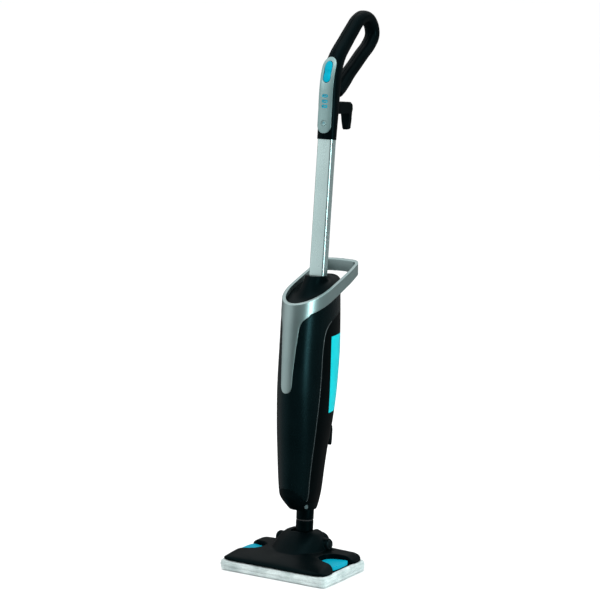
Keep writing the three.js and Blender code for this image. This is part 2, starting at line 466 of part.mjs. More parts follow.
// Deck inside the ring, rising to the collar round the tube.
const tubeDir = new THREE.Vector3(...TUBE_TOP).sub(new THREE.Vector3(...TUBE_LOW)).normalize();
const tubeFrame = new THREE.Quaternion().setFromUnitVectors(new THREE.Vector3(0, 0, 1), tubeDir);
function alongTube(w, d, r, s0, s1, seg = 4) {
  const g = extrude(outlineShape(roundRect(w, d, r, seg)), s1 - s0).translate(0, 0, s0);
  g.applyQuaternion(tubeFrame);
  g.translate(...TUBE_LOW);
  return solid(g);
}
const TUBE_LEN = new THREE.Vector3(...TUBE_TOP).distanceTo(new THREE.Vector3(...TUBE_LOW));
{
  const mix = (ring, k, cx, cy) => ring.map(([x, y]) => [cx + (x - cx) * k, cy + (y - cy) * k]);
  const deckTop = (y) => bandTop(y) - 11;
  const base = bodyRing(620, 0, 20).map(([x, y]) => [x, y]);
  const ringAt = (k, lift) => mix(base, k, 0, 103).map(([x, y]) => [x, y, deckTop(y) + lift]);
  let deck = loft([
    base.map(([x, y]) => [x, y, bandLow(y)]),
    ringAt(1, -1.5), ringAt(0.96, 0), ringAt(0.8, 1.5), ringAt(0.62, 5),
    mix(base, 0.46, 0, 103).map(([x, y]) => [x, y, deckTop(y) * 0.35 + 637 * 0.65]),
    mix(base, 0.42, 0, 103).map(([x, y]) => [x, y * 0.75 + 103 * 0.25, 645 + (y - 103) * -0.06]),
  ]);
  const ringRoom = ringLoft(-4).subtract(ringLoft(RING_T + 0.35));
  deck = deck.subtract(ringRoom).subtract(alongTube(TUBE_W + 0.8, TUBE_D + 0.8, 5.4, -60, 60))
    .subtract(bodyLoft(9, 540, 612).intersect(below(bandLow, 14)));
  add('top_deck', geo(deck), 'black');
}
{
  const tube = alongTube(TUBE_W, TUBE_D, 5, -26, TUBE_LEN + 34).subtract(alongTube(TUBE_W - 2 * TUBE_T, TUBE_D - 2 * TUBE_T, 3.5, -30, TUBE_LEN + 40));
  add('pole_tube', geo(tube), 'aluminium');
}

// ---------- works inside the body ----------
add('boiler', geo(prismZ(roundRect(52, 42, 12, 4, 0, 20), 206, 314, 3, 1)), 'cast');
add('boiler_thermostat', geo(turned([[0, 0], [9, 0], [9, 5], [6, 8], [0, 8]], [-12, 22, 314.4], [0, 0, 1], 20)), 'white');
add('water_pump', geo(box(-18, 18, 12, 47, 402, 442).add(rod(15, [0, 29, 400], [0, 0, 1], 66, 20))), 'white');
add('feed_hose', hose([[0, 108, 339], [0, 107.6, 332], [0, 96, 322], [0, 74, 321], [0, 57, 336], [0, 55.5, 370], [0, 56, 408], [0, 54.5, 422], [0, 49.6, 427.5]], 3, 8, 12), 'rubber');
add('pressure_hose', hose([[10, 30, 399.6], [10, 33, 378], [10, 33, 340], [10, 30, 314.5]], 2.5, 8, 10), 'rubber');
add('steam_hose', hose([[0, 30, 205.2], [0, 31.6, 192], [0, 46, 172], [0, 52.4, 157], [0, 53.8, 144.6]], 3.5, 8, 10), 'rubber');
add('wiring_loom', hose([[0, 147, 995], [0, 142.9, 980], [0, 138.2, 940], [0, 120.6, 790], [0, 103, 640], [0, 99.5, 610], [-6, 88, 575], [-22, 58, 535], [-25, 40, 490], [-25, 32, 455]], 2.6, 8, 20), 'rubber');
for (const [side, name] of [[-1, 'left'], [1, 'right']]) {
  add(`casing_screw_${name}`, geo(turned([[0, 0], [1.5, 0], [1.5, 24], [3, 24], [3, 26.2], [0, 26.2]], [side * 31, 44, 235], [0, 1, 0], 10)), 'steel');
}

// ---------- handle ----------
const GRIP_A = [ // y, z, across, through: housing, front bar and top
  [137.5, 940.8, 44, 29], [142, 975, 44, 32], [146.5, 1005, 43.5, 34.5], [150.5, 1035, 42.5, 37.5], [155.8, 1064, 41, 39], [163.5, 1092, 38.5, 37],
  [182, 1121, 35.5, 33], [212, 1149, 33.5, 31], [241, 1174.5, GRIP_W, 29.5], [264, 1193, GRIP_W, 28], [287, 1201, GRIP_W, 27.5]];
const GRIP_B = [ // top, rear bend, lower bar and its root in the housing
  [270, 1196.5, GRIP_W, 27.5], [287, 1201, GRIP_W, 27.5], [309, 1194, GRIP_W, 27.5], [324, 1176, GRIP_W, 27.5], [326, 1157, GRIP_W, 27], [309, 1136.5, GRIP_W, 26.5],
  [280, 1117, GRIP_W, 26.5], [250, 1096, GRIP_W, 26.5], [225, 1079, GRIP_W, 27.5], [205, 1064, 34.5, 29.5], [188, 1052, 36, 30], [170, 1041, 37.5, 26]];
function gripPath(table) {
  const c = new THREE.CatmullRomCurve3(table.map(([y, z]) => new THREE.Vector3(0, y, z)));
  const u = table.map((_, i) => i / (table.length - 1));
  const w = curve(u, col(table, 2)), d = curve(u, col(table, 3));
  return {
    at(t) {
      const P = c.getPoint(t), T = c.getTangent(t);
      return { P, N: new THREE.Vector3(0, -T.z, T.y), w: w(t), d: d(t) };
    },
    atHeight(z) {
      let lo = 0, hi = 1;
      for (let i = 0; i < 40; i++) { const m = (lo + hi) / 2; if (c.getPoint(m).z < z) lo = m; else hi = m; }
      return lo;
    },
  };
}
const pathA = gripPath(GRIP_A), pathB = gripPath(GRIP_B);
function gripRing(f, inset, front, n = 20, e = 0.8) {
  // superellipse section; the front of a cavity may stand further in than its sides
  const a = f.w / 2 - inset, b0 = f.d / 2 - inset, bF = f.d / 2 - front;
  const pts = [];
  for (let i = 0; i < n; i++) {
    const t = (i / n) * Math.PI * 2, c = Math.cos(t), s = Math.sin(t);
    const x = a * Math.sign(c) * Math.pow(Math.abs(c), e), k = (s > 0 ? bF : b0) * Math.sign(s) * Math.pow(Math.abs(s), e);
    pts.push([x, f.P.y + f.N.y * k, f.P.z + f.N.z * k]);
  }
  return pts;
}
const gripLoft = (path, t0, t1, steps, inset, front = inset, n = 20) => {
  const rings = [];
  for (let i = 0; i <= steps; i++) rings.push(gripRing(path.at(t0 + (t1 - t0) * i / steps), inset, front, n));
  return loft(rings);
};
// A strip laid along the front of the housing, with rounded ends and a crowned face.
function strip(z0, z1, w, out, inn, crown, steps = 12) {
  const zs = [];
  const r = w / 2;
  for (const k of [0.03, 0.25, 0.6]) zs.push(z0 + r * k);
  for (let i = 0; i <= steps; i++) zs.push(z0 + r + (z1 - z0 - w) * i / steps);
  for (const k of [0.6, 0.25, 0.03]) zs.push(z1 - r * k);
  return loft(zs.map((z) => {
    const e = Math.min(z - z0, z1 - z);
    const ww = e >= r ? r : Math.sqrt(Math.max(0, 1 - (1 - e / r) ** 2)) * r;
    const f = pathA.at(pathA.atHeight(z));
    const ring = [];
    const put = (x, n) => ring.push([x, f.P.y + f.N.y * n, f.P.z + f.N.z * n]);
    const face = f.d / 2 + out;
    put(-ww, f.d / 2 - inn);
    for (const k of [-1, -0.6, 0, 0.6, 1]) put(ww * k, face - crown * Math.pow(Math.abs(k) * ww / r, 3));
    put(ww, f.d / 2 - inn);
    return ring;
  }));
}
const ROCKER_Z = [1061.5, 1101];
const rockerPivot = (() => { const f = pathA.at(pathA.atHeight(1081)); return [0, f.P.y + f.N.y * (f.d / 2 - 5), f.P.z + f.N.z * (f.d / 2 - 5)]; })();
const powerAt = (() => { const f = pathA.at(pathA.atHeight(975)); return { p: [0, f.P.y + f.N.y * f.d / 2, f.P.z + f.N.z * f.d / 2], n: [0, f.N.y, f.N.z] }; })();
const HOOK_Z = 1007;
{
  let handle = gripLoft(pathA, 0, 1, 15, 0, 0, 12).add(gripLoft(pathB, 0, 1, 18, 0, 0, 10));
  const cavity = (() => {
    const rings = [];
    const top = pathA.atHeight(1104);
    const f0 = pathA.at(0);
    const low = { P: new THREE.Vector3(0, f0.P.y - 0.6, f0.P.z - 6), N: f0.N, w: f0.w, d: f0.d };
    rings.push(gripRing(low, 2.7, 4.6, 16, 0.7));
    for (let i = 0; i <= 7; i++) rings.push(gripRing(pathA.at(top * i / 7), 2.7, 4.6, 16, 0.7));
    return loft(rings);
  })();
  handle = handle.subtract(cavity).subtract(alongTube(TUBE_W + 0.8, TUBE_D + 0.8, 5.4, TUBE_LEN - 40, TUBE_LEN + 36));
  handle = handle.subtract(strip(953, 1110, 35.4, 12, 2.4, 0, 6));
  handle = handle.subtract(strip(ROCKER_Z[0] - 0.9, ROCKER_Z[1] + 0.9, 19.6, 12, 12, 0, 3));
  handle = handle.subtract(rod(6.8, powerAt.p.map((v, i) => v - powerAt.n[i] * 8), powerAt.n, 20, 20));
  handle = handle.subtract(rod(5.3, [0, 130, HOOK_Z + 5], [0, 0.9932, -0.1166], 50, 20));
  handle = handle.subtract(rod(1.9, [-12.6, rockerPivot[1], rockerPivot[2]], [1, 0, 0], 25.2, 10));
  for (const [y, z] of [[291, 1200], [199, 1058]]) {
    handle = handle.subtract(rod(3.4, [-30, y, z], [1, 0, 0], 19, 10)).subtract(rod(1.8, [-30, y, z], [1, 0, 0], 40, 10));
  }
  add('handle_shell_left', geo(handle.intersect(box(-60, -GAP / 2, 60, 400, 900, 1300))), 'black');
  add('handle_shell_right', geo(handle.intersect(box(GAP / 2, 60, 60, 400, 900, 1300))), 'black');
  for (const [i, [y, z]] of [[291, 1200], [199, 1058]].entries()) {
    add(`handle_screw_${i + 1}`, geo(turned([[0, 0], [3.1, 0], [3.1, 2.2], [1.5, 2.2], [1.5, 18], [0, 18]], [-13.3, y, z], [1, 0, 0], 10)), 'steel');
  }
}
{
  let panel = strip(953.5, 1109.5, 34.6, 1.8, 2.0, 2.2, 6);
  panel = panel.subtract(strip(ROCKER_Z[0] - 0.9, ROCKER_Z[1] + 0.9, 19.6, 12, 12, 0, 3));
  panel = panel.subtract(rod(6.6, powerAt.p.map((v, i) => v - powerAt.n[i] * 8), powerAt.n, 20, 20));
  for (const [i, z] of [1011.5, 1022.5, 1033.5].entries()) {
    const f = pathA.at(pathA.atHeight(z));
    const place = (g) => {
      // the oval's own x, y and z become across, up the panel and out of it
      const m = new THREE.Matrix4().makeBasis(new THREE.Vector3(1, 0, 0), new THREE.Vector3(0, f.N.z, -f.N.y), new THREE.Vector3(0, f.N.y, f.N.z));
      g.applyMatrix4(m);
      g.translate(0, f.P.y + f.N.y * (f.d / 2), f.P.z + f.N.z * (f.d / 2));
      return solid(g);
    };
    const room = place(extrude(outlineShape(roundRect(14.6, 6.6, 3.2, 4)), 8).translate(0, 0, 0.4));
    panel = panel.subtract(room);
    let lens = place(extrude(outlineShape(roundRect(14, 6, 2.95, 4)), 1.5).translate(0, 0, 0.7));
    lens = lens.subtract(place(extrude(outlineShape(roundRect(9.6, 2.4, 1.15, 4)), 3).translate(0, 0, -0.5)));
    add(`mode_lens_${i + 1}`, geo(lens), 'cyan');
  }
  add('control_panel', geo(panel), 'silver');
  const rocker = strip(ROCKER_Z[0], ROCKER_Z[1], 18, 3.6, 7, 1.6, 4).subtract(rod(1.9, [-20, rockerPivot[1], rockerPivot[2]], [1, 0, 0], 40, 10));
  add('steam_rocker', geo(rocker), 'cyan');
  add('rocker_pin', geo(rod(1.6, [-12, rockerPivot[1], rockerPivot[2]], [1, 0, 0], 24, 10)), 'steel');
  add('power_button', geo(turned([[0, 0], [6.2, 0], [6.2, 4.9], [5.4, 5.6], [0, 5.9]], powerAt.p.map((v, i) => v - powerAt.n[i] * 3.4), powerAt.n, 20)), 'silver');
  add('control_board', geo(prismX([[146, 1004], [147.8, 1004], [156, 1050], [154.2, 1050]], -13, 13)), 'green');
}
{
  // upper cord hook: a stem that turns on a pin, with a forked prong that hangs down
  const stem = prismX([[168.5, 1021], [167, 994.5], [222, 992], [227, 1000], [226, 1011], [218, 1017.5]].reverse(), -12, 12, 2, 1);
  const prong = prismY([[-12, 1004], [-9.5, 975], [-7, 959], [-4.5, 956], [4.5, 956], [7, 959], [9.5, 975], [12, 1004]], 212, 225.5, 2, 1);
  let hook = stem.add(prong).subtract(box(-1.1, 1.1, 200, 240, 940, 968));
  hook = hook.subtract(rod(5.2, [0, 150, HOOK_Z + 5 - 2.35], [0, 0.9932, -0.1166], 52, 20));
  add('upper_cord_hook', geo(hook), 'black');
  add('hook_pin', geo(turned([[0, 0], [4.9, 0], [4.9, 42], [0, 42]], [0, 157, HOOK_Z + 5 - 3.17], [0, 0.9932, -0.1166], 20)), 'steel');
}

export default root;
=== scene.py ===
import math
import bpy
import bmesh
import numpy as np
from mathutils import Matrix, Vector, noise


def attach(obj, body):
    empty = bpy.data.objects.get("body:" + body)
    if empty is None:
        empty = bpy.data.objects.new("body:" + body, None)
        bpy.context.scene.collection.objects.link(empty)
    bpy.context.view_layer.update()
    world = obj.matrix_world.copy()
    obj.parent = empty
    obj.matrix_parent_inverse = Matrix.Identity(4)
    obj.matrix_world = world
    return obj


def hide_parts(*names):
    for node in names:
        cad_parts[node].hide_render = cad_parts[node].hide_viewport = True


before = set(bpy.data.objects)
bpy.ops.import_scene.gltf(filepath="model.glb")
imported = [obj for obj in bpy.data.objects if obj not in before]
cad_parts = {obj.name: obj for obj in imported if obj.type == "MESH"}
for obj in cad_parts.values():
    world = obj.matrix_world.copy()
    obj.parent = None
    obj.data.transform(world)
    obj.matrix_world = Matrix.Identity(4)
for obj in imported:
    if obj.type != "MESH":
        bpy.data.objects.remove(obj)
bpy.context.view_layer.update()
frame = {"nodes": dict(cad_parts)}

GAP = 0.3
MM = 0.001

# ------------------------------------------------------------------ camera, light, floor
scene = bpy.context.scene
scene.view_settings.view_transform = "Standard"

cam_data = bpy.data.cameras.new("camera")
cam_data.sensor_width = 36.0
cam_data.lens = 139.06
cam_data.clip_end = 50
cam = bpy.data.objects.new("camera", cam_data)
scene.collection.objects.link(cam)
cam.location = (2.7045, -4.1270, 1.4786)
aim = Vector((0.0198, 0.0, 0.6068)) - Vector(cam.location)
cam.rotation_euler = aim.to_track_quat("-Z", "Y").to_euler()
scene.camera = cam

world = bpy.data.worlds.new("studio")
scene.world = world
world.use_nodes = True
wt = world.node_tree
bg = wt.nodes["Background"]
bg.inputs["Color"].default_value = (1.0, 1.0, 1.0, 1)
bg.inputs["Strength"].default_value = 0.96
# what the object sees: a bright ceiling over darker walls
room = wt.nodes.new("ShaderNodeBackground")
wc = wt.nodes.new("ShaderNodeTexCoord")
sep = wt.nodes.new("ShaderNodeSeparateXYZ")
wt.links.new(wc.outputs["Generated"], sep.inputs["Vector"])
up = wt.nodes.new("ShaderNodeMapRange")
up.inputs["From Min"].default_value = 0.25
up.inputs["From Max"].default_value = 0.75
up.inputs["To Min"].default_value = 0.16
up.inputs["To Max"].default_value = 1.5
wt.links.new(sep.outputs["Z"], up.inputs["Value"])
dot = wt.nodes.new("ShaderNodeVectorMath")
dot.operation = "DOT_PRODUCT"
dot.inputs[1].default_value = (-0.80, -0.60, 0.0)
wt.links.new(wc.outputs["Generated"], dot.inputs[0])
left = wt.nodes.new("ShaderNodeMapRange")
left.inputs["From Min"].default_value = 0.55
left.inputs["From Max"].default_value = 1.0
left.inputs["To Min"].default_value = 0.0
left.inputs["To Max"].default_value = 0.85
wt.links.new(dot.outputs["Value"], left.inputs["Value"])
dot2 = wt.nodes.new("ShaderNodeVectorMath")
dot2.operation = "DOT_PRODUCT"
dot2.inputs[1].default_value = (0.54, 0.82, -0.17)
wt.links.new(wc.outputs["Generated"], dot2.inputs[0])
back = wt.nodes.new("ShaderNodeMapRange")
back.inputs["From Min"].default_value = 0.70
back.inputs["From Max"].default_value = 1.0
back.inputs["To Min"].default_value = 0.0
back.inputs["To Max"].default_value = 0.20
wt.links.new(dot2.outputs["Value"], back.inputs["Value"])
tot2 = wt.nodes.new("ShaderNodeMath")
tot2.operation = "ADD"
wt.links.new(up.outputs["Result"], tot2.inputs[0])
wt.links.new(back.outputs["Result"], tot2.inputs[1])
tot = wt.nodes.new("ShaderNodeMath")
tot.operation = "ADD"
wt.links.new(tot2.outputs["Value"], tot.inputs[0])
wt.links.new(left.outputs["Result"], tot.inputs[1])
room.inputs["Color"].default_value = (1.0, 1.0, 1.0, 1)
wt.links.new(tot.outputs["Value"], room.inputs["Strength"])
lp = wt.nodes.new("ShaderNodeLightPath")
wmix = wt.nodes.new("ShaderNodeMixShader")
wt.links.new(lp.outputs["Is Camera Ray"], wmix.inputs["Fac"])
wt.links.new(room.outputs["Background"], wmix.inputs[1])
wt.links.new(bg.outputs["Background"], wmix.inputs[2])
wt.links.new(wmix.outputs["Shader"], wt.nodes["World Output"].inputs["Surface"])


def area_light(name, loc, target, size, size_y, power, color=(1, 1, 1)):
    d = bpy.data.lights.new(name, "AREA")
    d.shape = "RECTANGLE"
    d.size, d.size_y, d.energy, d.color = size, size_y, power, color
    o = bpy.data.objects.new(name, d)
    scene.collection.objects.link(o)
    o.location = loc
    o.rotation_euler = (Vector(target) - Vector(loc)).to_track_quat("-Z", "Y").to_euler()
    return o


area_light("key_right", (3.4, -0.75, 1.2), (0, 0.05, 0.6), 0.7, 2.4, 84, (0.80, 1.0, 1.0))
area_light("front_left", (-2.6, -2.6, 2.4), (0, 0.05, 0.6), 1.2, 1.6, 16)
area_light("top", (0.2, -0.8, 3.8), (0, 0.05, 0.3), 2.2, 2.2, 36)
area_light("rear_right", (1.6, 3.2, 2.6), (0, 0.1, 0.7), 0.7, 1.2, 5)

bm = bmesh.new()
bmesh.ops.create_grid(bm, x_segments=8, y_segments=8, size=60.0)
me = bpy.data.meshes.new("floor")
bm.to_mesh(me)
bm.free()
floor = bpy.data.objects.new("floor", me)
scene.collection.objects.link(floor)
floor.visible_glossy = False

# ------------------------------------------------------------------ geometry helpers (millimetres in, metres out)


def new_object(name, verts, faces, smooth=True):
    mesh = bpy.data.meshes.new(name)
    mesh.from_pydata([tuple(v) for v in np.asarray(verts, float) * MM], [], [tuple(int(i) for i in f) for f in faces])
    mesh.validate()
    b = bmesh.new()
    b.from_mesh(mesh)
    bmesh.ops.remove_doubles(b, verts=b.verts, dist=1e-7)
    bmesh.ops.recalc_face_normals(b, faces=b.faces)
    b.to_mesh(mesh)
    b.free()
    o = bpy.data.objects.new(name, mesh)
    scene.collection.objects.link(o)
    return o


def curve(xs, ys):
    xs, ys, n = list(map(float, xs)), list(map(float, ys)), len(xs)
    m = []
    for i in range(n):
        if i == 0:
            m.append((ys[1] - ys[0]) / (xs[1] - xs[0]))
        elif i == n - 1:
            m.append((ys[-1] - ys[-2]) / (xs[-1] - xs[-2]))
        else:
            d0 = (ys[i] - ys[i - 1]) / (xs[i] - xs[i - 1])
            d1 = (ys[i + 1] - ys[i]) / (xs[i + 1] - xs[i])
            m.append(0.0 if d0 * d1 <= 0 else 2 * d0 * d1 / (d0 + d1))

    def f(v):
        x = min(max(v, xs[0]), xs[-1])
        i = 0
        while i < n - 2 and x > xs[i + 1]:
            i += 1
        h = xs[i + 1] - xs[i]
        t = (x - xs[i]) / h
        return ((2 * t ** 3 - 3 * t ** 2 + 1) * ys[i] + (t ** 3 - 2 * t ** 2 + t) * h * m[i]
                + (-2 * t ** 3 + 3 * t ** 2) * ys[i + 1] + (t ** 3 - t ** 2) * h * m[i + 1])
    return f


def loft(name, rings):
    """A closed solid through rings of equal length, with flat fan ends."""
    rings = [np.asarray(r, float) for r in rings]
    n, k = len(rings[0]), len(rings)
    v = np.concatenate(rings + [rings[0].mean(0)[None], rings[-1].mean(0)[None]])
    f = []
    for i in range(k - 1):
        for j in range(n):
            a, b2 = i * n + j, i * n + (j + 1) % n
            f.append((a, b2, b2 + n, a + n))
    for j in range(n):
        f.append((k * n, (j + 1) % n, j))
        f.append((k * n + 1, (k - 1) * n + j, (k - 1) * n + (j + 1) % n))
    return new_object(name, v, f)


def prism(name, pts, lo, hi, axis):
    """An outline swept straight: axis z takes (x, y), axis x takes (y, z), axis y takes (x, z)."""
    n = len(pts)
    order = {"z": lambda p, h: (p[0], p[1], h), "x": lambda p, h: (h, p[0], p[1]), "y": lambda p, h: (p[0], h, p[1])}[axis]
    v = [order(p, lo) for p in pts] + [order(p, hi) for p in pts]
    f = [tuple(range(n)), tuple(range(2 * n - 1, n - 1, -1))]
    f += [(j, (j + 1) % n, n + (j + 1) % n, n + j) for j in range(n)]
    return new_object(name, v, f)


def block(x0, x1, y0, y1, z0, z1, name="block"):
    return prism(name, [(x0, y0), (x1, y0), (x1, y1), (x0, y1)], z0, z1, "z")


def turned(name, profile, p, direction, n=96):
    """A turned piece: [radius, height] pairs about an axis from p along direction."""
    q = Vector((0, 0, 1)).rotation_difference(Vector(direction).normalized())
    P = Vector(p)
    v, f, ids = [], [], []
    for r, h in profile:
        if r <= 1e-6:
            ids.append([len(v)])
            v.append(q @ Vector((0, 0, h)) + P)
        else:
            ids.append(list(range(len(v), len(v) + n)))
            for i in range(n):
                a = 2 * math.pi * i / n
                v.append(q @ Vector((r * math.cos(a), r * math.sin(a), h)) + P)
    pairs = list(zip(ids, ids[1:]))
    for A, B in pairs:
        for i in range(n):
            j = (i + 1) % n
            if len(A) == 1 and len(B) == 1:
                continue
            if len(A) == 1:
                f.append((A[0], B[j], B[i]))
            elif len(B) == 1:
                f.append((A[i], A[j], B[0]))
            else:
                f.append((A[i], A[j], B[j], B[i]))
    return new_object(name, [tuple(x) for x in v], f)


def rod(r, p, direction, length, n=72, name="rod"):
    return turned(name, [(0, 0), (r, 0), (r, length), (0, length)], p, direction, n)


def round_rect(w, d, r, seg=8, cx=0.0, cy=0.0):
    pts = []
    for q in range(4):
        sx = 1 if q in (0, 3) else -1
        sy = 1 if q < 2 else -1
        for i in range(seg + 1):
            a = (q + i / seg) * math.pi / 2
            pts.append((cx + sx * (w / 2 - r) + r * math.cos(a), cy + sy * (d / 2 - r) + r * math.sin(a)))
    return pts


def bake(o):
    """The object's modifiers, applied."""
    deps = bpy.context.evaluated_depsgraph_get()
    deps.update()
    mesh = bpy.data.meshes.new_from_object(o.evaluated_get(deps), preserve_all_data_layers=False, depsgraph=deps)
    o.modifiers.clear()
    old = o.data
    o.data = mesh
    bpy.data.meshes.remove(old)
    return o


def boolean(a, b, op="DIFFERENCE", keep=False, solver="MANIFOLD"):
    m = a.modifiers.new("cut", "BOOLEAN")
    m.operation = op
    m.object = b
    m.solver = solver
    n0 = len(a.data.polygons)
    bake(a)
    if len(a.data.polygons) == 0 and n0:
        print("EMPTY after", op, a.name, b.name)
    if not keep:
        mesh = b.data
        bpy.data.objects.remove(b)
        bpy.data.meshes.remove(mesh)
    return a


def remesh(o, voxel=1.0, smooth=4, factor=0.5):
    """One continuous moulded skin: edges softened to about the voxel's size."""
    m = o.modifiers.new("remesh", "REMESH")
    m.mode = "VOXEL"
    m.voxel_size = voxel * MM
    m.use_smooth_shade = True
    if smooth:
        s = o.modifiers.new("smooth", "SMOOTH")
        s.factor = factor
        s.iterations = smooth
    return bake(o)


def shade(o, angle=35):
    o.data.shade_smooth()
    if angle:
        o.data.set_sharp_from_angle(angle=math.radians(angle))
    return o


# ------------------------------------------------------------------ materials


def nodes_of(name):
    m = bpy.data.materials.new(name)
    m.use_nodes = True
    nt = m.node_tree
    return m, nt, nt.nodes["Principled BSDF"]


def surface(name, base, other, rough, rough_var=0.08, metallic=0.0, grain=900.0, grain_h=0.00003, blotch=14.0,
            coat=0.0, spec=0.5, scratch=0.0, edge=0.0005, painted_edge_highlight=0.0, dust=0.0, transmission=0.0, ior=1.5, subsurface=0.0, brushed=None):
    """A moulded, painted or metal surface: two close colours, uneven gloss, grain, soft edges and a painted highlight
    lightening the colour along convex edges.
    """
    m, nt, p = nodes_of(name)
    N, L = nt.nodes, nt.links
    geo = N.new("ShaderNodeTexCoord")
    src = geo.outputs["Object"]
    n1 = N.new("ShaderNodeTexNoise")
    n1.inputs["Scale"].default_value = blotch
    n1.inputs["Detail"].default_value = 4
    L.new(src, n1.inputs["Vector"])
    mix = N.new("ShaderNodeMix")
    mix.data_type = "RGBA"
    mix.inputs["A"].default_value = (*base, 1)
    mix.inputs["B"].default_value = (*other, 1)
    ramp = N.new("ShaderNodeMapRange")
    ramp.inputs["From Min"].default_value = 0.35
    ramp.inputs["From Max"].default_value = 0.65
    L.new(n1.outputs["Fac"], ramp.inputs["Value"])
    L.new(ramp.outputs["Result"], mix.inputs["Factor"])
    colour = mix.outputs["Result"]
    # handling marks in the gloss: broad smears and fine hairlines
    n2 = N.new("ShaderNodeTexNoise")
    n2.inputs["Scale"].default_value = blotch * 2.7
    n2.inputs["Detail"].default_value = 6
    n2.inputs["Roughness"].default_value = 0.62
    mp = N.new("ShaderNodeMapping")
    mp.inputs["Scale"].default_value = (1.0, 1.0, 0.35)
    L.new(src, mp.inputs["Vector"])
    L.new(mp.outputs["Vector"], n2.inputs["Vector"])
    rr = N.new("ShaderNodeMapRange")
    rr.inputs["From Min"].default_value = 0.3
    rr.inputs["From Max"].default_value = 0.7
    rr.inputs["To Min"].default_value = max(0.03, rough - rough_var)
    rr.inputs["To Max"].default_value = rough + rough_var
    L.new(n2.outputs["Fac"], rr.inputs["Value"])
    L.new(rr.outputs["Result"], p.inputs["Roughness"])
    if painted_edge_highlight > 0:
        # painted highlight: the colour is lightened along convex edges (pointiness), standing in for edges catching the
        # light
        gm = N.new("ShaderNodeNewGeometry")
        er = N.new("ShaderNodeMapRange")
        er.inputs["From Min"].default_value = 0.53
        er.inputs["From Max"].default_value = 0.62
        er.inputs["To Max"].default_value = painted_edge_highlight
        L.new(gm.outputs["Pointiness"], er.inputs["Value"])
        em = N.new("ShaderNodeMix")
        em.data_type = "RGBA"
        em.inputs["B"].default_value = tuple(min(1.0, c * 2.2 + 0.03) for c in base) + (1,)
        L.new(er.outputs["Result"], em.inputs["Factor"])
        L.new(colour, em.inputs["A"])
        colour = em.outputs["Result"]
    L.new(colour, p.inputs["Base Color"])
    n3 = N.new("ShaderNodeTexNoise")
    n3.inputs["Scale"].default_value = grain
    n3.inputs["Detail"].default_value = 3
    if brushed is not None:
        mb = N.new("ShaderNodeMapping")
        mb.inputs["Scale"].default_value = brushed
        L.new(src, mb.inputs["Vector"])
        L.new(mb.outputs["Vector"], n3.inputs["Vector"])
    else:
        L.new(src, n3.inputs["Vector"])
    b = N.new("ShaderNodeBump")
    b.inputs["Strength"].default_value = 0.6
    b.inputs["Distance"].default_value = grain_h
    L.new(n3.outputs["Fac"], b.inputs["Height"])
    bev = N.new("ShaderNodeBevel")
    bev.samples = 4
    bev.inputs["Radius"].default_value = edge
    L.new(bev.outputs["Normal"], b.inputs["Normal"])
    L.new(b.outputs["Normal"], p.inputs["Normal"])
    p.inputs["Metallic"].default_value = metallic
    p.inputs["Specular IOR Level"].default_value = spec
    if spec < 0.15:
        p.inputs["Specular Tint"].default_value = (0.35, 0.88, 1.0, 1)
    p.inputs["IOR"].default_value = ior
    p.inputs["Coat Weight"].default_value = coat
    p.inputs["Coat Roughness"].default_value = 0.12
    p.inputs["Transmission Weight"].default_value = transmission
    p.inputs["Subsurface Weight"].default_value = subsurface
    p.inputs["Subsurface Radius"].default_value = (0.01, 0.012, 0.012)
    p.inputs["Subsurface Scale"].default_value = 0.25
    return m


BLACK = surface("black_plastic", (0.0003, 0.0014, 0.0017), (0.0007, 0.0022, 0.0026), 0.34, 0.05, grain=1300, grain_h=0.000018, painted_edge_highlight=0.03, spec=0.03)
BLACK_GLOSS = surface("black_gloss", (0.006, 0.008, 0.0095), (0.008, 0.011, 0.0125), 0.22, 0.05, grain=700, grain_h=0.000006, painted_edge_highlight=0.1)
CHARCOAL = surface("charcoal_plastic", (0.0016, 0.0034, 0.004), (0.0028, 0.005, 0.0057), 0.45, 0.07, spec=0.1, grain=1500, grain_h=0.00003, painted_edge_highlight=0.1)
SILVER = surface("silver_paint", (0.215, 0.30, 0.30), (0.24, 0.325, 0.325), 0.34, 0.03, metallic=0.88, grain=2600, grain_h=0.000010, painted_edge_highlight=0.08, coat=0.35)
ALU = surface("pole_aluminium", (0.43, 0.565, 0.56), (0.46, 0.60, 0.595), 0.28, 0.04, metallic=0.95, grain=900, grain_h=0.000004, brushed=(1.0, 1.0, 0.02))
CYAN = surface("cyan_plastic", (0.0, 0.245, 0.355), (0.0, 0.285, 0.40), 0.34, 0.05, grain=900, grain_h=0.00001, painted_edge_highlight=0.03, spec=0.07)
TANK = surface("cyan_tank", (0.0, 0.405, 0.455), (0.0, 0.46, 0.51), 0.22, 0.05, grain=260, grain_h=0.00002, spec=0.07)
STEEL = surface("steel", (0.45, 0.45, 0.46), (0.54, 0.54, 0.55), 0.3, 0.08, metallic=1.0, grain=1200, grain_h=0.00001)
DARK_STEEL = surface("blackened_steel", (0.07, 0.105, 0.11), (0.10, 0.14, 0.145), 0.32, 0.06, metallic=1.0, grain=1200, grain_h=0.00001)
RUBBER = surface("rubber", (0.02, 0.02, 0.022), (0.028, 0.028, 0.03), 0.75, 0.08, grain=1600, grain_h=0.00004)
BRASS = surface("brass", (0.55, 0.38, 0.14), (0.62, 0.44, 0.18), 0.32, 0.08, metallic=1.0, grain=1200, grain_h=0.00001)
WHITE_P = surface("natural_plastic", (0.66, 0.67, 0.64), (0.72, 0.72, 0.70), 0.5, 0.08, grain=900, grain_h=0.00003)
CAST = surface("cast_aluminium", (0.36, 0.37, 0.38), (0.46, 0.47, 0.48), 0.5, 0.1, metallic=0.9, grain=500, grain_h=0.00012)
BOARD = surface("circuit_board", (0.015, 0.14, 0.06), (0.02, 0.18, 0.08), 0.45, 0.08, grain=400, grain_h=0.00004)
GREY = surface("grey_plug", (0.045, 0.07, 0.075), (0.06, 0.09, 0.095), 0.4, 0.06, spec=0.2, grain=1200, grain_h=0.00001)


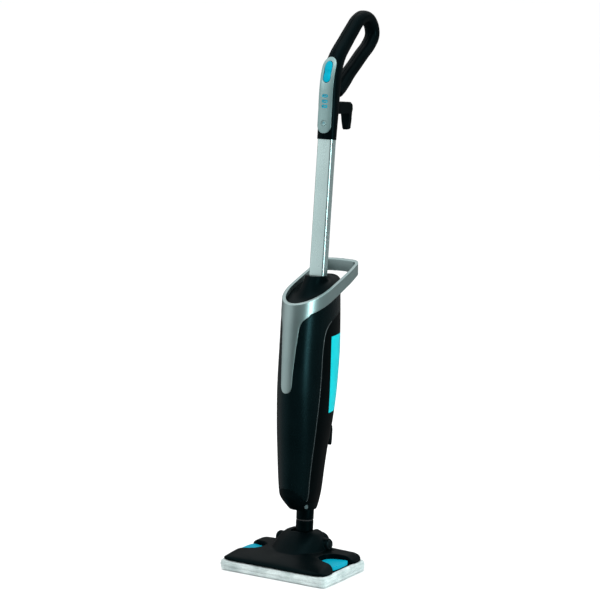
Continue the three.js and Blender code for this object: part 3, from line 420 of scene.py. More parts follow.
def microfibre():
    m, nt, p = nodes_of("microfibre")
    N, L = nt.nodes, nt.links
    tc = N.new("ShaderNodeTexCoord")
    n1 = N.new("ShaderNodeTexNoise")
    n1.inputs["Scale"].default_value = 38
    n1.inputs["Detail"].default_value = 5
    L.new(tc.outputs["Object"], n1.inputs["Vector"])
    v = N.new("ShaderNodeTexVoronoi")
    v.inputs["Scale"].default_value = 520
    L.new(tc.outputs["Object"], v.inputs["Vector"])
    mix = N.new("ShaderNodeMix")
    mix.data_type = "RGBA"
    mix.inputs["A"].default_value = (0.29, 0.36, 0.36, 1)
    mix.inputs["B"].default_value = (0.58, 0.655, 0.65, 1)
    mr = N.new("ShaderNodeMapRange")
    mr.inputs["From Min"].default_value = 0.25
    mr.inputs["From Max"].default_value = 0.6
    L.new(n1.outputs["Fac"], mr.inputs["Value"])
    L.new(mr.outputs["Result"], mix.inputs["Factor"])
    dk = N.new("ShaderNodeMix")
    dk.data_type = "RGBA"
    dk.blend_type = "MULTIPLY"
    dk.inputs["Factor"].default_value = 0.35
    L.new(mix.outputs["Result"], dk.inputs["A"])
    L.new(v.outputs["Distance"], dk.inputs["B"])
    inv = N.new("ShaderNodeMapRange")
    inv.inputs["To Min"].default_value = 1.0
    inv.inputs["To Max"].default_value = 0.55
    L.new(v.outputs["Distance"], inv.inputs["Value"])
    L.new(inv.outputs["Result"], dk.inputs["B"])
    L.new(dk.outputs["Result"], p.inputs["Base Color"])
    n2 = N.new("ShaderNodeTexNoise")
    n2.inputs["Scale"].default_value = 900
    n2.inputs["Detail"].default_value = 4
    L.new(tc.outputs["Object"], n2.inputs["Vector"])
    add = N.new("ShaderNodeMath")
    add.operation = "ADD"
    L.new(n2.outputs["Fac"], add.inputs[0])
    L.new(v.outputs["Distance"], add.inputs[1])
    b = N.new("ShaderNodeBump")
    b.inputs["Strength"].default_value = 0.9
    b.inputs["Distance"].default_value = 0.0006
    L.new(add.outputs["Value"], b.inputs["Height"])
    L.new(b.outputs["Normal"], p.inputs["Normal"])
    rg = N.new("ShaderNodeMapRange")
    rg.inputs["To Min"].default_value = 0.85
    rg.inputs["To Max"].default_value = 1.0
    L.new(n1.outputs["Fac"], rg.inputs["Value"])
    L.new(rg.outputs["Result"], p.inputs["Roughness"])
    p.inputs["Sheen Weight"].default_value = 0.5
    p.inputs["Sheen Roughness"].default_value = 0.6
    p.inputs["Specular IOR Level"].default_value = 0.2
    return m


PAD = microfibre()


def floor_material():
    m, nt, p = nodes_of("floor")
    N, L = nt.nodes, nt.links
    tc = N.new("ShaderNodeTexCoord")
    n1 = N.new("ShaderNodeTexNoise")
    n1.inputs["Scale"].default_value = 1.4
    L.new(tc.outputs["Object"], n1.inputs["Vector"])
    mix = N.new("ShaderNodeMix")
    mix.data_type = "RGBA"
    mix.inputs["A"].default_value = (0.86, 0.865, 0.865, 1)
    mix.inputs["B"].default_value = (0.88, 0.885, 0.885, 1)
    L.new(n1.outputs["Fac"], mix.inputs["Factor"])
    L.new(mix.outputs["Result"], p.inputs["Base Color"])
    p.inputs["Roughness"].default_value = 0.7
    p.inputs["Specular IOR Level"].default_value = 0.2
    return m


floor.data.materials.append(floor_material())


def finish_piece(o, body, slot, material, *nodes, angle=35):
    o.data.materials.clear()
    o.data.materials.append(material)
    if angle is not None:
        shade(o, angle)
    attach(o, body)
    if nodes:
        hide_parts(*nodes)
    return o


# ------------------------------------------------------------------ shared shapes, as on the CAD model
PIVOT = (0.0, 46.0, 58.0)
TILT = math.radians(5)
NECK_DIR = (0.0, math.sin(TILT), math.cos(TILT))


def along_neck(d):
    return (PIVOT[0], PIVOT[1] + NECK_DIR[1] * d, PIVOT[2] + NECK_DIR[2] * d)


BODY = [(126, 13, 74, 26.4), (137, 4, 80.5, 30.4), (150, -9.5, 85, 34.8), (163, -21, 88.5, 38.6), (172, -26, 90.5, 40.6), (193, -27.8, 94.2, 43),
        (215, -28, 97.6, 45), (258, -28.2, 107, 48.2), (324, -29.2, 128.9, 52.6), (389, -28.6, 145.8, 54.6), (432, -26, 153, 55),
        (475, -21.6, 158.8, 55), (503, -18.3, 160.2, 54.9), (546, -12.8, 160, 54.9), (610, -4, 159.4, 54.3), (700, 8, 159, 53)]
body_front = curve([r[0] for r in BODY], [r[1] for r in BODY])
body_rear = curve([r[0] for r in BODY], [r[2] for r in BODY])
body_half = curve([r[0] for r in BODY], [r[3] for r in BODY])


def body_ring(z, inset, n=144):
    f, r, a = body_front(z) + inset, body_rear(z) - inset, body_half(z) - inset
    t = np.arange(n) / n * 2 * math.pi
    return np.stack([a * np.cos(t), (f + r) / 2 + (r - f) / 2 * np.sin(t), np.full(n, float(z))], 1)


def body_loft(inset, z0, z1, n=144, step=7.0, name="body"):
    k = max(2, int((z1 - z0) / step))
    return loft(name, [body_ring(z0 + (z1 - z0) * i / k, inset, n) for i in range(k + 1)])


def band_low(y):
    return 571.5 + (y - 8.6) * 0.365


def band_top(y):
    return 600 + (y - 7) * 0.35


def below(f, d):
    return prism("below", [(-120, f(-120) + d), (320, f(320) + d), (320, 60), (-120, 60)], -120, 120, "x")


def above(f, d):
    return prism("above", [(-120, f(-120) + d), (-120, 900), (320, 900), (320, f(320) + d)], -120, 120, "x")


def ring_outline(z, d, fine=28):
    f = body_front(z) - 0.4 + d
    r = body_rear(z)
    a = body_half(z) + 0.6 - d
    cy = (f + r) / 2
    b = cy - f
    half = []
    for i in range(fine + 1):
        t = -math.pi / 2 + i / fine * math.pi / 2
        half.append((a * math.cos(t), cy + b * math.sin(t)))
    half += [(55 - d, 100), (55 - d, 114), (54.7 - d, 133), (54.2 - d, 152), (52.8 - d, 168)]
    for i in range(13):
        t = i / 12 * math.pi / 2
        half.append((28 + (23 - d) * math.cos(t), 182 + (22.5 - d) * math.sin(t)))
    half += [(18, 205.3 - d), (8, 205.8 - d), (0, 206 - d)]
    return half + [(-x, y) for x, y in half[1:-1][::-1]]


def ring_loft(d):
    return loft("ring", [[(x, y, z) for x, y in ring_outline(z, d)] for z in range(530, 701, 10)])


TONGUE_R = [(42, 585), (36.3, 570.1), (31.5, 565.2), (26.4, 559.5), (23.4, 552.6), (21.2, 541), (19.6, 520), (17.8, 498.7), (15.8, 466), (14.6, 444), (13.8, 422), (12.4, 413), (9.4, 406.6), (5, 403.6)]
TONGUE = TONGUE_R + [(0, 402.7)] + [(-x, z) for x, z in TONGUE_R[::-1]]
SEAM = [(9, 130), (9, 158), (8, 200), (12, 250), (18.5, 304), (25, 352), (31, 394), (37, 440), (41.5, 482), (46, 508), (50.5, 525), (58, 538.5), (68, 548), (84, 555.5), (110, 565), (155, 580), (210, 600)]


def densify(pts, k=5):
    """A smooth line through the points (centripetal-like Catmull-Rom)."""
    P = np.asarray(pts, float)
    out = []
    for i in range(len(P) - 1):
        p0, p1, p2, p3 = P[max(i - 1, 0)], P[i], P[i + 1], P[min(i + 2, len(P) - 1)]
        for j in range(k):
            t = j / k
            out.append(0.5 * ((2 * p1) + (-p0 + p2) * t + (2 * p0 - 5 * p1 + 4 * p2 - p3) * t * t + (-p0 + 3 * p1 - 3 * p2 + p3) * t ** 3))
    out.append(P[-1])
    return [tuple(x) for x in out]


SEAM_FINE = densify(SEAM, 5)


def seam_shift(d):
    out = []
    for i, (y, z) in enumerate(SEAM_FINE):
        a, b = SEAM_FINE[max(0, i - 1)], SEAM_FINE[min(len(SEAM_FINE) - 1, i + 1)]
        l = math.hypot(b[0] - a[0], b[1] - a[1])
        out.append((y - d * (b[1] - a[1]) / l, z + d * (b[0] - a[0]) / l))
    return out


BOOT = densify([(-120, 202), (-36, 191), (-24, 187), (-14, 176), (-3, 165), (6, 158), (28, 152.5), (60, 150), (200, 150)], 4)
TANK_Z, TANK_Y, TANK_T = (349.0, 518.0), (64.0, 73.0), 2.4


def tank_prism(d):
    return prism("tank", [(TANK_Y[0] - d, TANK_Z[0] - d), (240, TANK_Z[0] - d), (240, TANK_Z[1] + d), (TANK_Y[1] - d, TANK_Z[1] + d)], -120, 120, "x")

# ------------------------------------------------------------------ mop pad


def resample(pts, n):
    """n points evenly round a closed outline, starting where it starts."""
    P = np.asarray(list(pts) + [pts[0]], float)
    seg = np.hypot(*(P[1:] - P[:-1]).T)
    s = np.concatenate([[0], np.cumsum(seg)])
    t = np.arange(n) / n * s[-1]
    return np.stack([np.interp(t, s, P[:, 0]), np.interp(t, s, P[:, 1])], 1)


def make_pad():
    W, D, n = 276.0, 174.0, 700
    # [offset from the nominal side, height] from the middle of the underside round the rim to the pocket
    prof = [(-84, 0.9), (-70, 0.6), (-55, 0.8), (-40, 0.5), (-28, 0.7), (-18, 0.5), (-11, 0.3), (-6.5, 0.5), (-3.2, 1.3), (-1.3, 2.8), (-0.3, 4.8), (0.2, 6.6),
            (0.2, 8.0), (-0.5, 9.2), (-1.2, 9.9), (-0.4, 10.7), (0.5, 12.2), (0.7, 14.0), (0.4, 16.0), (-0.2, 17.6), (-1.1, 18.5), (-0.7, 19.4), (-0.9, 20.8),
            (-2.1, 22.4), (-4.0, 23.5), (-6.4, 24.0), (-8.6, 23.7), (-9.8, 22.6), (-10.0, 20), (-10.0, 14.6), (-10.0, 9.6), (-11.5, 9.0), (-30, 9.0), (-60, 9.0), (-84, 9.0)]
    P = np.array(prof)
    # finer along the profile
    s = np.concatenate([[0], np.cumsum(np.hypot(*(P[1:] - P[:-1]).T))])
    take = []
    for i in range(len(P) - 1):
        k = max(1, int(min((s[i + 1] - s[i]) / 1.0, 14)))
        take += [s[i] + (s[i + 1] - s[i]) * j / k for j in range(k)]
    take.append(s[-1])
    off = np.interp(take, s, P[:, 0])
    hz = np.interp(take, s, P[:, 1])
    rings = []
    for o, z in zip(off, hz):
        r = max(1.2, 12 + o)
        xy = resample(round_rect(W + 2 * o, D + 2 * o, r, 10), n)
        ring = np.column_stack([xy, np.full(n, z)])
        rings.append(ring)
    R = np.array(rings)
    # looped pile: fine tufts over slow waves, on the faces that show
    for i in range(len(R)):
        o, z = off[i], hz[i]
        inside = z > 8.9 and o <= -9.4
        if inside:
            continue
        side = 0.0 if o < -8 else min(1.0, (o + 8) / 5)
        for j in range(n):
            x, y, _ = R[i, j]
            q = Vector((x * 0.42, y * 0.42, z * 0.9))
            tuft = noise.noise(q) * 0.55 + noise.noise(q * 2.3) * 0.38
            wave = noise.noise(Vector((x * 0.035, y * 0.035, z * 0.12 + 7))) * 0.9
            d = (tuft + wave) * (0.35 + 0.65 * side)
            # outwards on the sides, down on the underside
            ln = math.hypot(x / W, y / D) + 1e-9
            ux, uy = (x, 0.0) if abs(x) / W > abs(y) / D * (1.0) else (0.0, y)
            l2 = math.hypot(ux, uy) + 1e-9
            R[i, j, 0] += side * d * ux / l2
            R[i, j, 1] += side * d * uy / l2
            if side < 1:
                R[i, j, 2] = max(0.05, z - (1 - side) * abs(d) * 0.7 if z < 5 else z + (1 - side) * d * 0.5)
    R[:, :, 2] = np.maximum(R[:, :, 2], 0.03)
    return loft("mop_pad_cloth", list(R))


pad = make_pad()
finish_piece(pad, "head", "microfibre", PAD, "mop_pad", angle=None)
pad.data.shade_smooth()

# ------------------------------------------------------------------ mop head
COVER_Z, HINGE_X = 24.3, 80.5
CLAMP = [(77, -9), (84, -18.5), (96, -24), (107, -27), (116, -30), (122.5, -32.5), (126, -27), (128, -10), (128, 13), (126, 27),
         (121, 30.5), (112, 29.3), (100, 27), (89, 23), (80, 15), (77, 6)]
NOTCH = [(77, -9), (84, -18.5), (96, -24), (108, -27.5), (120, -31.5), (129, -36.5), (140, -37), (140, 33.5), (126, 32.5), (114, 29.8), (100, 27), (89, 23), (80, 15), (77, 6)]
COVER_R = [(0, -87), (60, -86.8), (104, -86), (121, -83.5), (131, -76), (135, -62), (134, -48), (129, -38), (118, -31), (103, -27),
           (88, -22), (78, -12), (74.5, 2), (78, 16), (88, 26), (100, 30.5), (116, 33), (127, 36), (133, 43), (135, 54), (133.5, 68), (126, 78), (112, 82), (60, 84), (0, 85)]
COVER_R = densify(COVER_R, 5)
COVER_OUT = COVER_R + [(-x, y) for x, y in COVER_R[1:-1][::-1]]
SCREWS = [(-58, -58), (58, -58), (-58, 68), (58, 68)]


def make_cover():
    nx = 90
    ys = np.concatenate([np.linspace(-86.5, -72, 18), np.linspace(-70, 66, 50), np.linspace(68, 83.5, 18)])
    rings = []
    for i in range(nx + 1):
        x = -136 + 272 * i / nx
        a = abs(x)
        P = [(-86.5, 27.5), (-84, 32), (-76, 36 - 0.01 * a), (-58, 40 - 0.018 * a), (-34, 44 - 0.03 * a), (-12, 49 - 0.055 * a), (10, 50 - 0.07 * a),
             (34, 50 - 0.06 * a), (56, 48.5 - 0.045 * a), (70, 45 - 0.03 * a), (79, 38 - 0.01 * a), (83.5, 30)]
        f = curve([p[0] for p in P], [p[1] for p in P])
        drop = max(0.14, 1 - max(0.0, (a - 112) / 24) ** 2.4)
        rings.append([(x, -86.5, COVER_Z)] + [(x, y, COVER_Z + (f(y) - COVER_Z) * drop) for y in ys] + [(x, 83.5, COVER_Z)])
    crown = loft("crown", rings)
    crown = boolean(crown, prism("low", COVER_OUT, 20, 60, "z"), "INTERSECT")
    DOME = [(44, 66, 41), (54, 62.5, 39), (64, 56.5, 37), (72, 49.5, 34), (78, 42.5, 30), (82, 33, 24)]
    fw, fd = curve([d[0] for d in DOME], [d[1] for d in DOME]), curve([d[0] for d in DOME], [d[2] for d in DOME])
    rings = []
    for z in list(np.linspace(44, 82, 20)) + [82.9]:
        w, d = fw(z), fd(z)
        if z > 82:
            w, d = w - 5, d - 4
        ring = []
        for i in range(96):
            t = i / 96 * 2 * math.pi
            c, s = math.cos(t), math.sin(t)
            front = 1 + 0.9 * max(0, (78 - z) / 34) if s < 0 else 1
            ring.append((w * math.copysign(abs(c) ** 0.86, c), 46 + d * front * math.copysign(abs(s) ** 0.92, s), z))
        rings.append(ring)
    dome = loft("dome", rings)
    CHEEKS = [(44, 66, 20, 51), (54, 64, 19, 53), (61, 61, 18.5, 55), (67, 57, 17.5, 58), (72, 52, 15.5, 60), (75.5, 46, 12, 61), (77, 41, 9, 61.5)]
    cw, cd, cc = (curve([c[0] for c in CHEEKS], [c[k] for c in CHEEKS]) for k in (1, 2, 3))
    rings = []
    for z in list(np.linspace(44, 77, 26)):
        w, d, cy = cw(z), cd(z), cc(z)
        ring = []
        for i in range(96):
            t = i / 96 * 2 * math.pi
            c, sn = math.cos(t), math.sin(t)
            front = 1 + 0.9 * max(0, (78 - z) / 34) if sn < 0 else 1
            ring.append((w * math.copysign(abs(c) ** 0.86, c), cy + d * front * math.copysign(abs(sn) ** 0.92, sn), z))
        rings.append(ring)
    dome = boolean(dome, loft("cheeks", rings), "UNION")
    dome = boolean(dome, block(-140, 140, -86, 84, 30, 90), "INTERSECT")
    cover = boolean(crown, dome, "UNION")
    cover = boolean(cover, rod(14, (-65.5, 47, 56), (1, 0, 0), 131), "UNION")
    cover.name = "head_cover_shell"
    for b in [(-72, 72, -76, -48, 10, 33), (-72, 72, -48, 74, 10, 37)]:
        cover = boolean(cover, block(*b))
    for s in (-1, 1):
        for y0, y1 in ((-74, -42), (44, 74)):
            cover = boolean(cover, block(min(s * 90, s * 122), max(s * 90, s * 122), y0, y1, 10, 30))
    for x, y in SCREWS:
        cover = boolean(cover, rod(4.6, (x, y, COVER_Z), (0, 0, 1), 14.5 if y > 0 else 10.5, 24), "UNION")
    cover = boolean(cover, rod(23.3, (-23, 46, 58), (1, 0, 0), 46))
    slot = prism("slot", [(24, 58), (24, 95), (140, 95), (140, 44.4), (90, 43.8), (70, 41), (57, 37.6), (46, 34.2)], -21.3, 21.3, "x")
    cover = boolean(cover, slot)
    for x, y in SCREWS:
        cover = boolean(cover, rod(1.9, (x, y, 20), (0, 0, 1), 13, 16))
    for s in (-1, 1):
        out = [(s * (x + (-2.0 if x < 80 else 0.4)), y * 1.03 + math.copysign(2.8 if x < 92 else 1.6 if x < 106 else 0.8, y)) for x, y in NOTCH]
        cover = boolean(cover, prism("notch", out, 20, 60, "z"))
        cover = boolean(cover, rod(6.6, (s * HINGE_X, -13.9, 29.5), (0, 1, 0), 26.8, 32))
        cover = boolean(cover, rod(12.4, (s * 65.4, 47, 56), (s, 0, 0), 14))
    remesh(cover, 1.15, 5)
    return cover


cover = make_cover()
finish_piece(cover, "head", "black_plastic", BLACK, "head_cover", angle=None)


def make_clamp(side):
    pts = densify(CLAMP + [CLAMP[0]], 4)[:-1]
    c = prism("pad_clamp_" + ("left" if side < 0 else "right") + "_flap", [(side * x, y) for x, y in pts], 25.2, 33.7, "z")
    # thumb groove along the outer edge
    c = boolean(c, rod(2.0, (side * 122.5, -20, 34.7), (side * 0.03, 1, 0), 40, 24))
    c = boolean(c, rod(2.4, (side * HINGE_X, -30, 29.5), (0, 1, 0), 60, 24))
    remesh(c, 0.62, 7)
    return c


for side, nm in ((-1, "left"), (1, "right")):
    finish_piece(make_clamp(side), "clamp_" + nm, "cyan_plastic", CYAN, "pad_clamp_" + nm, angle=None)

for s, nm in ((-1, "left"), (1, "right")):
    o = turned("axle_cap_disc_" + nm, [(0, 0), (11.6, 0), (11.6, 1.6), (11.3, 2.2), (10.6, 2.7), (9.4, 3.1), (8.6, 3.2), (8.2, 2.9), (7.6, 2.8), (6.8, 3.0), (5, 3.45), (2.5, 3.75), (0, 3.85)], (s * 65.8, 47, 56), (s, 0, 0), 96)
    finish_piece(o, "head", "dark_plastic", CHARCOAL, "axle_cap_" + nm, angle=50)

# ------------------------------------------------------------------ neck


def round_profile(r, h0, h1, e=0.7, r0=0.0):
    """A bored cylinder's profile with small radii on its outer edges."""
    p = [(r0, h0), (r - e, h0)]
    p += [(r - e + e * math.sin(a), h0 + e - e * math.cos(a)) for a in np.linspace(0.3, math.pi / 2, 5)]
    p += [(r - e + e * math.cos(a), h1 - e + e * math.sin(a)) for a in np.linspace(0, math.pi / 2 - 0.3, 5)]
    p += [(r - e, h1), (r0, h1)]
    if r0 > 0:
        p.append((r0, h0))
    return p


def make_knuckle():
    k = rod(20.5, (-20.5, 46, 58), (1, 0, 0), 41, 128, "neck_knuckle_casting")
    k = boolean(k, turned("stem", round_profile(19.5, 0, 45, 0.9), along_neck(0), NECK_DIR, 128), "UNION")
    k = boolean(k, rod(7.4, (-30, 46, 58), (1, 0, 0), 60))
    k = boolean(k, rod(5, along_neck(12), NECK_DIR, 60, 48))
    k = boolean(k, turned("groove", [(19.05, 0), (25, 0), (25, 0.9), (19.05, 0.9), (19.05, 0)], along_neck(31), NECK_DIR, 128))
    remesh(k, 0.75, 3)
    return k


finish_piece(make_knuckle(), "neck", "black_plastic", BLACK, "neck_knuckle", angle=None)
seal = turned("neck_seal_ring", [(5.4, 0.05), (18.2, 0.05), (18.7, 0.35), (18.85, 0.8), (18.7, 1.25), (18.85, 1.7), (18.6, 2.1), (18.0, 2.35), (5.4, 2.35), (5.4, 0.05)], along_neck(45.3), NECK_DIR, 128)
finish_piece(seal, "neck", "rubber", RUBBER, "neck_seal", angle=60)
sp = [(5, 0)] + [(19.5 - 0.9 + 0.9 * math.sin(a), 0.9 - 0.9 * math.cos(a)) for a in np.linspace(0, math.pi / 2, 6)]
sp += [(19.5, 5.6), (19.15, 5.9), (19.15, 6.9), (19.5, 7.2)]
sp += [(19.5 - 1.2 + 1.2 * math.cos(a), 23.5 + 1.2 * math.sin(a)) for a in np.linspace(0, math.pi / 2, 6)] + [(13.5, 24.7), (13.5, 36.9), (12.9, 37.5), (5, 37.5), (5, 0)]
finish_piece(turned("swivel_spigot_turned", sp, along_neck(48), NECK_DIR, 128), "neck", "black_plastic", BLACK, "swivel_spigot", angle=40)

# ------------------------------------------------------------------ body casings
boot_region = prism("boot", [(y, z - GAP / 2) for y, z in BOOT] + [(200, 60), (-120, 60)], -90, 90, "x")
over_boot = prism("over", [(y, z + GAP / 2) for y, z in BOOT] + [(200, 900), (-120, 900)], -90, 90, "x")


def make_boot():
    b = body_loft(0.05, 126, 300, step=4, name="lower_end_cap_moulding")
    b = boolean(b, body_loft(3.4, 138.5, 305, step=6))
    b = boolean(b, boot_region, "INTERSECT")
    b = boolean(b, above(lambda y: 131 - (y - 52.5) * math.tan(TILT), 0), "INTERSECT")
    b = boolean(b, rod(14, along_neck(50), NECK_DIR, 60))
    b = boolean(b, rod(5.5, (15, 17, 144), (1, -0.2, 0), 20, 48))
    remesh(b, 0.85, 3)
    return b


finish_piece(make_boot(), "main", "black_plastic", BLACK, "lower_end_cap", angle=None)
plug = turned("end_cap_plug_turned", [(0, 0), (5, 0), (5, 2.6), (4.6, 3.2), (3.6, 3.5), (0, 3.6)], (25.0, 15.0, 144), (1, -0.2, 0), 64)
finish_piece(plug, "main", "cast_aluminium", GREY, "end_cap_plug", angle=40)

hollow = body_loft(0, 127, 690, step=5, name="hollow")
hollow = boolean(hollow, body_loft(3, 138.5, 695, step=7))
low_band = below(band_low, -GAP)


def copy_of(o, name):
    c = o.copy()
    c.data = o.data.copy()
    c.name = name
    scene.collection.objects.link(c)
    return c


def grown(pts, d):
    return [(x + math.copysign(d, x) if x else 0.0, z - (d if abs(x) < 20 and z < 430 else 0.0)) for x, z in pts]


TONGUE_FINE = densify(TONGUE, 4)
front = copy_of(hollow, "front_shell_moulding")
front = boolean(front, prism("fr", seam_shift(GAP / 2) + [(210, 760), (-120, 760), (-120, 130)], -90, 90, "x"), "INTERSECT")
front = boolean(front, over_boot, "INTERSECT", keep=True)
front = boolean(front, low_band, "INTERSECT", keep=True)
recess = body_loft(-1, 370, 650, step=6)
recess = boolean(recess, body_loft(2.3, 360, 655, step=6))
recess = boolean(recess, prism("tongue_room", grown(TONGUE_FINE, 0.45), -80, 40, "y"), "INTERSECT")
front = boolean(front, recess)
SHELL = surface("shell_plastic", (0.0005, 0.0021, 0.0025), (0.0010, 0.0032, 0.0037), 0.27, 0.04, spec=0.10, grain=1500, grain_h=0.000012, edge=0.0011, painted_edge_highlight=0.1)
finish_piece(front, "main", "black_plastic", SHELL, "front_shell", angle=30)

rear = copy_of(hollow, "rear_shell_moulding")
rear_region = prism("rr", seam_shift(-GAP / 2) + [(320, 600), (320, 130)], -90, 90, "x")
rear = boolean(rear, rear_region, "INTERSECT", keep=True)
rear = boolean(rear, over_boot, "INTERSECT", keep=True)
rear = boolean(rear, low_band, "INTERSECT", keep=True)
pocket = boolean(tank_prism(3.2), body_loft(0, 300, 600, step=5), "INTERSECT")
pocket = boolean(pocket, rear_region, "INTERSECT")
rear = boolean(rear, pocket, "UNION")
rear = boolean(rear, tank_prism(0.5))
rear = boolean(rear, rod(7.4, (0, 108, 330), (0, 0, 1), 30, 48))
rear = boolean(rear, block(-11.35, 11.35, 130, 180, 527.65, 556.35))
rear = boolean(rear, block(-12.3, 12.3, 100, 150, 290.6, 308.4))
rear = boolean(rear, rod(7.9, (0, 80, 214), (0, 1, -0.25), 50, 64))
# painted shade: the rear shell gets a darker copy of the front shell's black (SHELL), standing in for its side turned
# away from the key light
REAR_SHELL_SHADE = surface("rear_shell_painted_shade", (0.0003, 0.0009, 0.0011), (0.0006, 0.0014, 0.0016), 0.42, 0.05, spec=0.03, grain=1500, grain_h=0.00002, edge=0.0011, painted_edge_highlight=0.05)
finish_piece(rear, "main", "black_plastic", REAR_SHELL_SHADE, "rear_shell", angle=30)


def trim_bead(side):
    """The front casing's rolled edge, lying along the seam."""
    pts, s0 = [], seam_shift(0.9)
    for (y, z), _ in zip(s0, range(len(s0))):
        if not 156 < z < 553:
            continue
        f, r, a = body_front(z), body_rear(z), body_half(z)
        q = (y - (f + r) / 2) / ((r - f) / 2)
        if abs(q) >= 0.97:
            continue
        x = a * math.sqrt(1 - q * q)
        n = Vector((x / a ** 2, (y - (f + r) / 2) / ((r - f) / 2) ** 2, 0)).normalized()
        pts.append((Vector((side * x, y, z)) + Vector((side * n.x, n.y, 0)) * 0.05, Vector((side * n.x, n.y, 0))))
    rings = []
    for i, (c, n) in enumerate(pts):
        t = (pts[min(i + 1, len(pts) - 1)][0] - pts[max(i - 1, 0)][0]).normalized()
        b = t.cross(n).normalized()
        k = min(1.0, (i + 0.4) / 5, (len(pts) - 0.6 - i) / 5)
        rings.append([tuple(c + n * 0.75 * k * math.cos(u) + b * 1.0 * math.sin(u)) for u in np.linspace(0, 2 * math.pi, 16, endpoint=False)])
    return loft("front_shell_edge_" + ("left" if side < 0 else "right"), rings)


# painted highlight: the bead's black is much lighter and glossier than the shell's, standing in for the light line
# along the seam
TRIM_HIGHLIGHT = surface("rolled_edge_painted_highlight", (0.018, 0.028, 0.030), (0.024, 0.034, 0.036), 0.26, 0.05, spec=0.6, grain=1500, grain_h=0.000008, edge=0.0004)
for side in (-1, 1):
    bead = trim_bead(side)
    finish_piece(bead, "main", "black_plastic", TRIM_HIGHLIGHT, angle=60)


def remove(*objs):
    for o in objs:
        m = o.data
        bpy.data.objects.remove(o)
        bpy.data.meshes.remove(m)


remove(hollow, over_boot, low_band)

# water tank
tank = boolean(body_loft(0, 300, 600, step=4, name="water_tank_moulding"), tank_prism(0), "INTERSECT")
inner = boolean(body_loft(2.4, 300, 600, step=6), tank_prism(-2.4), "INTERSECT")
tank = boolean(tank, inner)
tank = boolean(tank, rod(17.5, (0, 112, 509.5), (0, 0, 1), 8, 96), "UNION")
tank = boolean(tank, rod(11, (0, 108, 349.5), (0, 0, 1), 8, 64), "UNION")
tank = boolean(tank, rod(15, (0, 112, 513.5), (0, 0, 1), 10, 96))
tank = boolean(tank, rod(11, (0, 112, 506), (0, 0, 1), 12, 64))
tank = boolean(tank, rod(7.3, (0, 108, 348), (0, 0, 1), 12, 48))
finish_piece(tank, "tank", "cyan_plastic", TANK, "water_tank", angle=30)

cap = turned("tank_cap_turned", [(0, 0), (10.2, 0), (10.6, 0.4), (10.6, 5.2), (14.0, 5.2), (14.6, 5.7), (14.6, 7.4), (14.0, 8.0), (0, 8.0)], (0, 112, 508.8), (0, 0, 1), 96)
cap = boolean(cap, block(-9, 9, 110.5, 113.5, 515, 523))
for i in range(36):
    a = 2 * math.pi * i / 36
    cap = boolean(cap, rod(0.55, (14.9 * math.cos(a), 112 + 14.9 * math.sin(a), 513), (0, 0, 1), 6, 8))
finish_piece(cap, "filler_cap", "dark_plastic", CHARCOAL, "tank_cap", angle=35)

latch = boolean(body_loft(-0.6, 500, 580, step=4, name="tank_latch_button"), body_loft(3.4, 490, 590, step=4))
latch = boolean(latch, prism("lt", round_rect(22, 28, 2.6, 8, 0, 542), 130, 190, "y"), "INTERSECT")
for z in (534, 538, 542, 546, 550):
    latch = boolean(latch, rod(0.7, (-7.5, body_rear(z) + 0.9, z), (1, 0, 0), 15, 16))
finish_piece(latch, "latch_button", "dark_plastic", CHARCOAL, "tank_latch", angle=35)

# lower cord hook, cord inlet
hook_yz = [(110, 291), (131, 291), (133.2, 262), (135.4, 257.4), (139.4, 256.4), (142.6, 260), (146, 288), (145.6, 298), (141.5, 305), (134, 308), (110, 308)]
lower_hook = prism("lower_cord_hook_moulding", hook_yz, -12, 12, "x")
remesh(lower_hook, 0.6, 6)
finish_piece(lower_hook, "main", "black_plastic", BLACK, "lower_cord_hook", angle=None)
gl = [(3.6, 0), (7.6, 0), (7.6, 7.2), (7.2, 8)]
for i in range(6):
    h = 8.6 + i * 2.2
    r = 7.0 - i * 0.12
    gl += [(r - 0.9, h), (r - 0.9, h + 0.5), (r, h + 0.9), (r, h + 1.6), (r - 0.9, h + 2.0)]
gl += [(5.6, 22), (3.6, 22), (3.6, 0)]
finish_piece(turned("cord_inlet_gland_turned", gl, (0, 89, 211.75), (0, 1, -0.25), 72), "main", "rubber", RUBBER, "cord_inlet_gland", angle=40)

# ------------------------------------------------------------------ bezel, deck, pole
RING_T = 7.5
ring = boolean(ring_loft(0), ring_loft(RING_T))
ring = boolean(ring, below(band_top, 0), "INTERSECT")
ring = boolean(ring, above(band_low, 0), "INTERSECT")
ring.name = "silver_bezel_moulding"
tongue = boolean(body_loft(-0.5, 380, 640, step=5), body_loft(2.2, 370, 650, step=5))
tongue = boolean(tongue, prism("tg", TONGUE_FINE, -80, 40, "y"), "INTERSECT")
tongue = boolean(tongue, below(band_low, 9), "INTERSECT")
ring = boolean(ring, tongue, "UNION")
remesh(ring, 0.72, 5)
finish_piece(ring, "main", "silver_paint", SILVER, "silver_bezel", angle=None)

TUBE_LOW, TUBE_TOP = Vector((0, 103, 640)), Vector((0, 139.5, 951))
TUBE_DIR = (TUBE_TOP - TUBE_LOW).normalized()
TUBE_LEN = (TUBE_TOP - TUBE_LOW).length
TUBE_Q = Vector((0, 0, 1)).rotation_difference(TUBE_DIR)


def along_tube(w, d, r, s0, s1, seg=12, name="tube", steps=1):
    pts = round_rect(w, d, r, seg)
    rings = []
    for i in range(steps + 1):
        s = s0 + (s1 - s0) * i / steps
        rings.append([tuple(TUBE_Q @ Vector((x, y, s)) + TUBE_LOW) for x, y in pts])
    return loft(name, rings)


